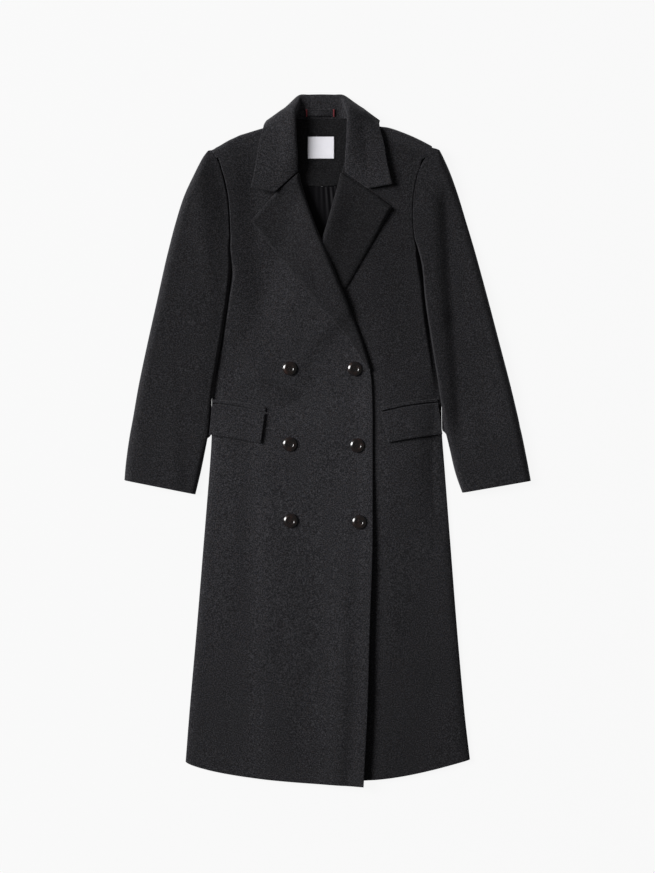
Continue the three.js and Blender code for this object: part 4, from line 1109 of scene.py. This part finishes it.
def through(points, share):
    """A smooth curve through five points, given as arrays over the stations."""
    place = share * (len(points) - 1)
    i = min(int(place), len(points) - 2)
    t = place - i
    before = points[i - 1] if i > 0 else 2 * points[0] - points[1]
    after = points[i + 2] if i + 2 < len(points) else 2 * points[i + 1] - points[i]
    p, q, r, s = before, points[i], points[i + 1], after
    gaps = [np.maximum(np.linalg.norm(b - a, axis=-1, keepdims=True) ** 0.5, 1e-3)
            for a, b in ((p, q), (q, r), (r, s))]
    start = ((q - p) / gaps[0] - (r - p) / (gaps[0] + gaps[1]) + (r - q) / gaps[1]) * gaps[1]
    end = ((r - q) / gaps[1] - (s - q) / (gaps[1] + gaps[2]) + (s - r) / gaps[2]) * gaps[1]
    return (q + start * t + (3 * (r - q) - 2 * start - end) * t ** 2
            + (2 * (q - r) + start + end) * t ** 3)


def collar_side(side, stations=72, across=34, straight=16):
    v = np.linspace(0, 1, stations + 1)
    controls = []
    for k, name in enumerate(COLLAR_POINTS):
        rows = table("x y z", [station[k] for station in COLLAR])
        spot = np.stack([read(rows, axis, v) for axis in "xyz"], axis=-1)
        ending = 1 - smooth(0, 0.25, v)
        if side > 0:
            spot[:, 0] = 2 * COLLAR_MIDDLE - spot[:, 0]
        if name in ("bend", "edge"):
            if side > 0:
                fuller = table("fuller", [[value] for value in COLLAR_FULLER])
                spot[:, 0] += read(fuller, "fuller", v)
                spot[:, 1] += GORGE_LIFT * ending
            lifted = STANDS_OFF[side][name == "edge"]
            spot[:, 2] += lifted * (1 - smooth(0, 0.55, v))
        controls.append(spot)
    curved = [through(controls[:5], k / across) for k in range(across)]
    falling = [blend(controls[4], controls[5], k / straight) for k in range(straight + 1)]
    rows = np.stack(curved + falling, axis=1)
    rows[..., 2] = np.maximum(rows[..., 2], 0)
    return rows


collar_grid = np.concatenate([collar_side(-1), collar_side(1)[-2::-1]])
collar = shell("collar_cloth", collar_grid, DOUBLE, WOOL["collar"], flip=True)
belongs(collar, "coat_cloth", "collar")
print("collar crest at", highest(collar), "mm")

# %% [markdown]
# ## Inside the neck
# Through the open neck show the facing, which is coat cloth, the lining below it, the label and
# the hanger loop. The lining is gathered into soft pleats where it is sewn to the facing, and
# they stay sharp for a short way down. The label is a bare white patch, sewn down along its edge.

# %% Facing, lining, label and loop
SATIN_THICK = 1.2
FACING_BOX = {"left": -60, "right": 38, "low": 471, "high": 586.6}
LINING_BOX = {"left": -72, "right": 50, "low": 352, "high": 464.4}
LABEL_BOX = {"left": -36, "right": 12, "low": 516, "high": 556}
LOOP_BOX = {"left": -40, "right": 14, "low": 593.5, "high": 605.5}
LABEL_THICK, LOOP_THICK = 1.0, 1.4
PLEATS = table("x rise reach", [
    [-44, 1.0, 7], [-30, 1.4, 6], [-18, 1.8, 4.5], [-9.5, 2.2, 3], [-1, 3.0, 2.6], [8, 3.4, 2.8],
    [15, 2.6, 3], [24, 1.4, 6]])


def patch_of(box, height, rows, columns, low_bow=0.0):
    v = np.linspace(0, 1, rows + 1)
    y = blend(box["low"], box["high"], v)
    lines = [(np.full(rows + 1, float(box[side])), y) for side in ("left", "right")]
    return laid(*lines, height, steps=(0, columns, 0), shares=v,
                bend=lambda x, y, far, v: low_bow * np.sin(math.pi * far) * (1 - v))


def facing_top(x, y):
    return back_lift(x, y) + CLOTH + 0.8 + CLOTH + 0.3 * ripple(x, y, 0.6, 2)


def lining_top(x, y):
    below = 464 - y
    folds = sum(rise * np.exp(-((x - at - below * 0.02 * lean) / (reach + below * 0.05)) ** 2)
                for lean, (at, rise, reach) in enumerate(zip(*PLEATS.values())))
    return back_lift(x, y) + CLOTH + SEAM + SATIN_THICK + folds * (1 - 0.35 * smooth(440, 464, y))


def label_top(x, y):
    return facing_top(x, y) + SEAM + 0.2 + LABEL_THICK


STAND = [(587, 9.6), (608, 13.5), (633.8, 8.6)]     # inner face of the collar at the centre back


def loop_top(x, y):
    along = (x + 13) / 27
    stand = np.interp(y, *zip(*STAND))
    slack = 1.6 * np.cos(along * math.pi / 2) ** 2
    sag = 1.0 * np.cos(along * math.pi / 2) ** 2 * smooth(603, 595, y)
    return stand + 0.6 + LOOP_THICK + slack + sag


inside = {
    "neck_facing_cloth": ("neck_facing", FACING_BOX, facing_top, (40, 40, -6), CLOTH,
                          WOOL["facing"]),
    "lining_satin_cloth": ("lining", LINING_BOX, lining_top, (36, 110, 0), SATIN_THICK, SATIN),
    "bare_label": ("label", LABEL_BOX, label_top, (20, 24, 0), LABEL_THICK, TAPE),
    "hanging_loop": ("hanger_loop", LOOP_BOX, loop_top, (10, 40, 0), LOOP_THICK, WOOL["over"]),
}
SLOTS = {"lining_satin_cloth": "lining_satin", "bare_label": "label_weave"}
for name, (node, box, height, (rows, columns, bow), thick, material) in inside.items():
    piece = shell(name, patch_of(box, height, rows, columns, bow), thick, material)
    belongs(piece, SLOTS.get(name, "coat_cloth"), node)
    print(name, "up to", highest(piece), "mm")

# %% [markdown]
# ## Pockets
# Each pocket has a narrow welt and a slanted flap below it. Both are made from points of the
# front, moved out along its surface, so they follow every fold under them. The flap is two
# cloths turned and pressed, with a thick round edge that throws a thin shadow.

# %% Flaps and welts
FLAPS = {
    "left": ((-216.5, 10.5), (-121.5, -5.5), (-114, 49.5), (-211, 67.1)),
    "right": ((111, -4), (210.5, 11.5), (202.5, 69), (99, 51.5))}
WELTS = {
    "left": ((-210, 69.4), (-113, 51.8), (-113.5, 60.8), (-209, 75)),
    "right": ((98, 53.8), (202, 71.4), (200.5, 75.8), (97.5, 60.8))}
FLAP_BOW = 2.6          # the pocket's line is curved a little upwards


def on_front(name, corners, side, thick, rows, columns, proud=0.0, low_bow=1.0, stand=0.0):
    a, b, c, d = (np.array(corner, float) for corner in corners)
    u = np.linspace(0, 1, columns + 1)
    u = (u ** 1.4 if side < 0 else 1 - (1 - u) ** 1.4)[None, :, None]
    v = np.linspace(0, 1, rows + 1)[:, None, None]
    place = blend(blend(a, b, u), blend(d, c, u), v)
    place[..., 1] += FLAP_BOW * (np.sin(math.pi * u) * blend(low_bow, 1, v))[..., 0]
    face = over_top if side < 0 else under_top
    x, y = place[..., 0], place[..., 1]
    tilt = np.stack([face(x - 1, y) - face(x + 1, y), face(x, y - 1) - face(x, y + 1),
                     np.full(x.shape, 2.0)], axis=-1)
    tilt /= np.linalg.norm(tilt, axis=-1, keepdims=True)
    swell = proud * np.sin(math.pi * v[..., 0]) ** 0.5
    out = (SEAM + 0.2 + thick + swell + stand * (1 - v[..., 0]))[..., None]
    points = np.stack([x, y, face(x, y)], axis=-1) + tilt * out
    return shell(name, points, thick, WOOL["over" if side < 0 else "under"])


for hand, side in (("left", -1), ("right", 1)):
    flap = on_front("pocket_flap_" + hand, FLAPS[hand], side, DOUBLE, 26, 40, 0.8, 0.3, 1.4)
    welt = on_front("pocket_welt_" + hand, WELTS[hand], side, 2.6, 8, 40)
    belongs(flap, "coat_cloth", "flap_" + hand)
    belongs(welt, "coat_cloth", "welt_" + hand)
print("pocket pieces:", 2 * len(FLAPS))
# %% [markdown]
# ## Buttons
# Six four-hole buttons are turned from dark horn: a domed rim, a dished middle and a narrower
# back. One button is modelled. It starts as a cylinder, its top is inset five times, up
# to the dome and down into the dish, its edges are bevelled, and four cylinders cut the holes. It
# is then copied to each place, turned by its own angle, because nobody sews six buttons on alike.

# %% One button
# Each inset of the button's top, and how far it then goes up or down
BUTTON_INSETS = ((2.5, 1.55), (2.3, 1.15), (0.8, 0.0), (1.5, -0.9), (1.8, -0.2))
BUTTON = {"radius": 13.0, "thick": 4.6, "dome": 2.7, "hole": 1.15, "spread": 2.6}


def edit(piece):
    bpy.ops.object.select_all(action="DESELECT")
    bpy.context.view_layer.objects.active = piece
    piece.select_set(True)
    bpy.ops.object.mode_set(mode="EDIT")


def select_faces(piece, wanted):
    """Selects the faces whose centre and normal pass the test, in edit mode."""
    bpy.ops.mesh.select_mode(type="FACE")
    bpy.ops.mesh.select_all(action="DESELECT")
    bpy.ops.object.mode_set(mode="OBJECT")
    for face in piece.data.polygons:
        face.select = wanted(face.center / MM, face.normal)
    bpy.ops.object.mode_set(mode="EDIT")


def top_disc(centre, normal):
    return normal.z > 0.9 and math.hypot(centre.x, centre.y) < 0.1


def under_disc(centre, normal):
    return normal.z < -0.9 and math.hypot(centre.x, centre.y) < 0.1


def model_button():
    thick = BUTTON["thick"] - BUTTON["dome"]
    bpy.ops.mesh.primitive_cylinder_add(vertices=64, radius=BUTTON["radius"] * MM,
                                        depth=thick * MM, location=(0, 0, thick / 2 * MM))
    button = bpy.context.object
    bpy.ops.object.transform_apply(location=True)
    edit(button)
    for inset, depth in BUTTON_INSETS:
        select_faces(button, top_disc)
        bpy.ops.mesh.inset(thickness=inset * MM, depth=depth * MM)
    select_faces(button, under_disc)
    bpy.ops.mesh.inset(thickness=0.5 * MM, depth=0)
    bpy.ops.transform.resize(value=(0.76, 0.76, 1))
    bpy.ops.object.mode_set(mode="OBJECT")
    rim = button.modifiers.new("rim", "BEVEL")
    rim.width, rim.segments, rim.limit_method, rim.angle_limit = 0.7 * MM, 4, "ANGLE", 0.5
    cutters = []
    for i, j in ((-1, -1), (1, -1), (1, 1), (-1, 1)):
        place = (i * BUTTON["spread"] * MM, j * BUTTON["spread"] * MM, 0)
        bpy.ops.mesh.primitive_cylinder_add(vertices=20, radius=BUTTON["hole"] * MM,
                                            depth=0.02, location=place)
        cutters.append(bpy.context.object)
    bpy.context.view_layer.objects.active = cutters[0]
    for cutter in cutters:
        cutter.select_set(True)
    button.select_set(False)
    bpy.ops.object.join()
    holes = button.modifiers.new("holes", "BOOLEAN")
    holes.operation, holes.object = "DIFFERENCE", cutters[0]
    bpy.context.view_layer.objects.active = button
    for modifier in ("rim", "holes"):
        bpy.ops.object.modifier_apply(modifier=modifier)
    bpy.data.objects.remove(cutters[0])
    bpy.ops.object.select_all(action="DESELECT")
    button.select_set(True)
    bpy.ops.object.shade_smooth_by_angle(angle=math.radians(32))
    button.data.materials.append(HORN)
    return button


first_button = model_button()
print("button faces:", len(first_button.data.polygons))

# %% [markdown]
# ## Sewing
# Stitches are the same small thing hundreds of times, so one is modelled, a slim capsule pulled
# from a coarse sphere, and every seam that shows is a list of places for it. The copies of a
# seam are joined into one mesh, which stays light because a stitch has only a few dozen faces.

# %% One stitch, and seams made of it
def model_stitch():
    bpy.ops.object.select_all(action="DESELECT")
    bpy.ops.mesh.primitive_uv_sphere_add(segments=8, ring_count=6, radius=1)
    stitch = bpy.context.object
    edit(stitch)
    bpy.ops.mesh.select_all(action="SELECT")
    bpy.ops.transform.rotate(value=math.pi / 2, orient_axis="Y", center_override=(0, 0, 0))
    bpy.ops.transform.resize(value=(0.5, 0.5, 0.5))
    bpy.ops.object.mode_set(mode="OBJECT")
    return stitch


first_stitch = model_stitch()


def sewn(name, places, length, wide, material, slot="coat_cloth"):
    """Joins a stitch at each place, given as x, y, z in millimetres and a turn."""
    one = first_stitch.data
    corners = np.array([vertex.co for vertex in one.vertices])
    faces = [list(face.vertices) for face in one.polygons]
    vertices, polygons = [], []
    for k, (x, y, z, turn) in enumerate(places):
        size = corners * (length, wide, wide)
        turned = np.stack([size[:, 0] * math.cos(turn) - size[:, 1] * math.sin(turn),
                           size[:, 0] * math.sin(turn) + size[:, 1] * math.cos(turn),
                           size[:, 2]], axis=-1)
        vertices.extend((turned + (x, y, z)) * MM)
        polygons += [[index + k * len(corners) for index in face] for face in faces]
    mesh = bpy.data.meshes.new(name)
    mesh.from_pydata([tuple(vertex) for vertex in vertices], [], polygons)
    mesh.polygons.foreach_set("use_smooth", np.ones(len(polygons), bool))
    mesh.materials.append(material)
    seam = bpy.data.objects.new(name, mesh)
    bpy.context.scene.collection.objects.link(seam)
    belongs(seam, slot)


def at_height(height, x, y, turn, above=0.0):
    z = float(height(np.array(float(x)), np.array(float(y))))
    return (x, y, z + above, turn)


print("stitch faces:", len(first_stitch.data.polygons))

# %% [markdown]
# ## Buttons sewn on, and their buttonholes
# The right-hand column does the fastening, so each of its buttons sits at the inner end of a
# worked buttonhole, whose end peeps out on the side of the front edge. The left-hand column is
# only for show. Threads cross from hole to hole as two short bars.

# %% Six buttons, their threads and three buttonholes
BUTTON_TURNS = {"left": (0.35, 1.1, 0.15), "right": (0.62, 0.2, 0.95)}
HOLE_REACH = (-9, 16.5)     # a buttonhole's ends, from the button's centre
HOLE_HALF = 1.5
ABOVE_CLOTH = 0.25      # how far the buttonhole's thread stands off the front


def seat_of(x, y):
    reach = BUTTON["radius"] - 3
    around = np.array([[0, 0], [1, 0], [0, 1], [-1, 0], [0, -1]]) * reach + (x, y)
    return float(over_top(around[:, 0], around[:, 1]).max()) + SEAM


def place_button(node, turn):
    low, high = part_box(node)
    centre = (Vector(low) + Vector(high)) / 2 / MM
    seat = seat_of(centre.x, centre.y)
    place = Matrix.Translation(Vector((centre.x, centre.y, seat)) * MM)
    button = bpy.data.objects.new("horn_" + node, first_button.data.copy())
    bpy.context.scene.collection.objects.link(button)
    button.data.transform(place @ Matrix.Rotation(turn, 4, "Z"))
    belongs(button, "button_horn", node)
    return centre.x, centre.y, seat


def thread_bars(name, x, y, seat, turn):
    top = seat + BUTTON["thick"] - 1.5
    spread = BUTTON["spread"]
    places = []
    for bar in (-1, 1):
        for strand in (-0.55, 0, 0.55):
            across = bar * spread + strand
            places.append((x - across * math.sin(turn), y + across * math.cos(turn), top, turn))
    sewn(name, places, 2 * spread + 1.6, 0.62, GREY_THREAD)


def buttonhole(name, x, y):
    places = []
    ends = [x + reach for reach in HOLE_REACH]
    for column in np.arange(ends[0], ends[1], 0.62):
        for edge in (-1, 1):
            spot = (column, y + edge * HOLE_HALF)
            places.append(at_height(over_top, *spot, math.pi / 2, ABOVE_CLOTH))
    for turn in np.linspace(-math.pi / 2, math.pi / 2, 9):
        spot = (ends[1] + HOLE_HALF * math.cos(turn), y + HOLE_HALF * math.sin(turn))
        places.append(at_height(over_top, *spot, turn, ABOVE_CLOTH))
    sewn(name, places, 1.9, 0.6, GREY_THREAD)


for hand, turns in BUTTON_TURNS.items():
    for number, turn in enumerate(turns, start=1):
        x, y, seat = place_button(f"button_{hand}_{number}", turn)
        thread_bars(f"button_thread_{hand}_{number}", x, y, seat, turn)
        if hand == "right":
            buttonhole(f"buttonhole_{number}", x, y)
        print(hand, number, "sits at", round(seat, 1), "mm")
bpy.data.objects.remove(first_button)

# %% [markdown]
# ## Bar tacks and the label's stitching
# Both ends of the hanger loop are held by a bar tack in red thread, a dense pile of short
# stitches side by side. The label is sewn down by a line of fine white stitches just inside its
# edge. The seams of the coat itself are sewn from inside and show no thread.

# %% Red bar tacks and white label stitches
TACK = {"x": (-38.2, 11.6), "low": 592.6, "high": 606.0, "wide": 2.9, "pitch": 0.62}
LABEL_SEAM = {"inside": 1.6, "pitch": 2.7, "long": 2.1}

for name, x in zip(("left", "right"), TACK["x"]):
    rungs = np.arange(TACK["low"], TACK["high"], TACK["pitch"])
    places = [at_height(loop_top, x, y, 0.09 * (-1) ** k, 0.15) for k, y in enumerate(rungs)]
    sewn("loop_tack_" + name, places, TACK["wide"], 0.75, RED_THREAD)


def label_stitches():
    left, right, low, high = (LABEL_BOX[side] for side in ("left", "right", "low", "high"))
    left, low = left + LABEL_SEAM["inside"], low + LABEL_SEAM["inside"]
    right, high = right - LABEL_SEAM["inside"], high - LABEL_SEAM["inside"]
    places = []
    for x in np.arange(left + 1.3, right, LABEL_SEAM["pitch"]):
        places += [at_height(label_top, x, y, 0, 0.05) for y in (low, high)]
    for y in np.arange(low + 1.3, high, LABEL_SEAM["pitch"]):
        places += [at_height(label_top, x, y, math.pi / 2, 0.05) for x in (left, right)]
    return places


sewn("label_stitching", label_stitches(), LABEL_SEAM["long"], 0.35, WHITE_THREAD, "label_weave")
bpy.data.objects.remove(first_stitch)
print("stitches round the label:", len(label_stitches()))

# %% [markdown]
# ## The cut of each sheet
# A sheet keeps its area when it is laid down. Each row gives the rounded width and length of the
# cloth that a piece is cut from, and the area of the cut, in metres. The measured area of each
# layer is printed beside it, which shows where the rounding is coarse.

# %% The cut of each sheet, against its laid area
SHEETS = {
    "over_front": (0.34, 1.22, 0.315, ["under_front", "back_cloth_left"]),
    "under_front": (0.37, 1.20, 0.315, ["back_cloth_left", "back_cloth_right"]),
    "over_lapel": (0.15, 0.40, 0.031, ["over_front"]),
    "under_lapel": (0.16, 0.40, 0.033, ["under_front"]),
    "back_cloth_left": (0.28, 1.23, 0.270, ["floor"]),
    "back_cloth_right": (0.29, 1.23, 0.275, ["floor"]),
    "top_sleeve_cloth_left": (0.17, 0.65, 0.085, ["under_sleeve_cloth_left"]),
    "top_sleeve_cloth_right": (0.16, 0.65, 0.079, ["under_sleeve_cloth_right"]),
    "under_sleeve_cloth_left": (0.14, 0.65, 0.073, ["floor", "over_front"]),
    "under_sleeve_cloth_right": (0.13, 0.65, 0.068, ["floor", "under_front"]),
    "collar_cloth": (0.46, 0.13, 0.043, ["over_front", "under_front"]),
    "neck_facing_cloth": (0.10, 0.122, 0.0117, ["back_cloth_left", "back_cloth_right"]),
    "lining_satin_cloth": (0.14, 0.113, 0.0145, ["back_cloth_left", "back_cloth_right"]),
    "bare_label": (0.048, 0.040, 0.0019, ["neck_facing_cloth"]),
    "hanging_loop": (0.055, 0.012, 0.00066, ["collar_cloth"]),
    "pocket_flap_left": (0.098, 0.056, 0.0050, ["over_front"]),
    "pocket_flap_right": (0.110, 0.060, 0.0055, ["under_front"]),
    "pocket_welt_left": (0.096, 0.010, 0.00080, ["over_front"]),
    "pocket_welt_right": (0.106, 0.010, 0.00094, ["under_front"]),
}


def layer_area(piece):
    return sum(face.area for face in piece.data.polygons) / 2


for name, (wide, long, area, below) in SHEETS.items():
    piece = bpy.data.objects[name]
    print(f"{name}: cut {area:.4f} m2 of {wide * long:.4f}, laid {layer_area(piece):.4f}")
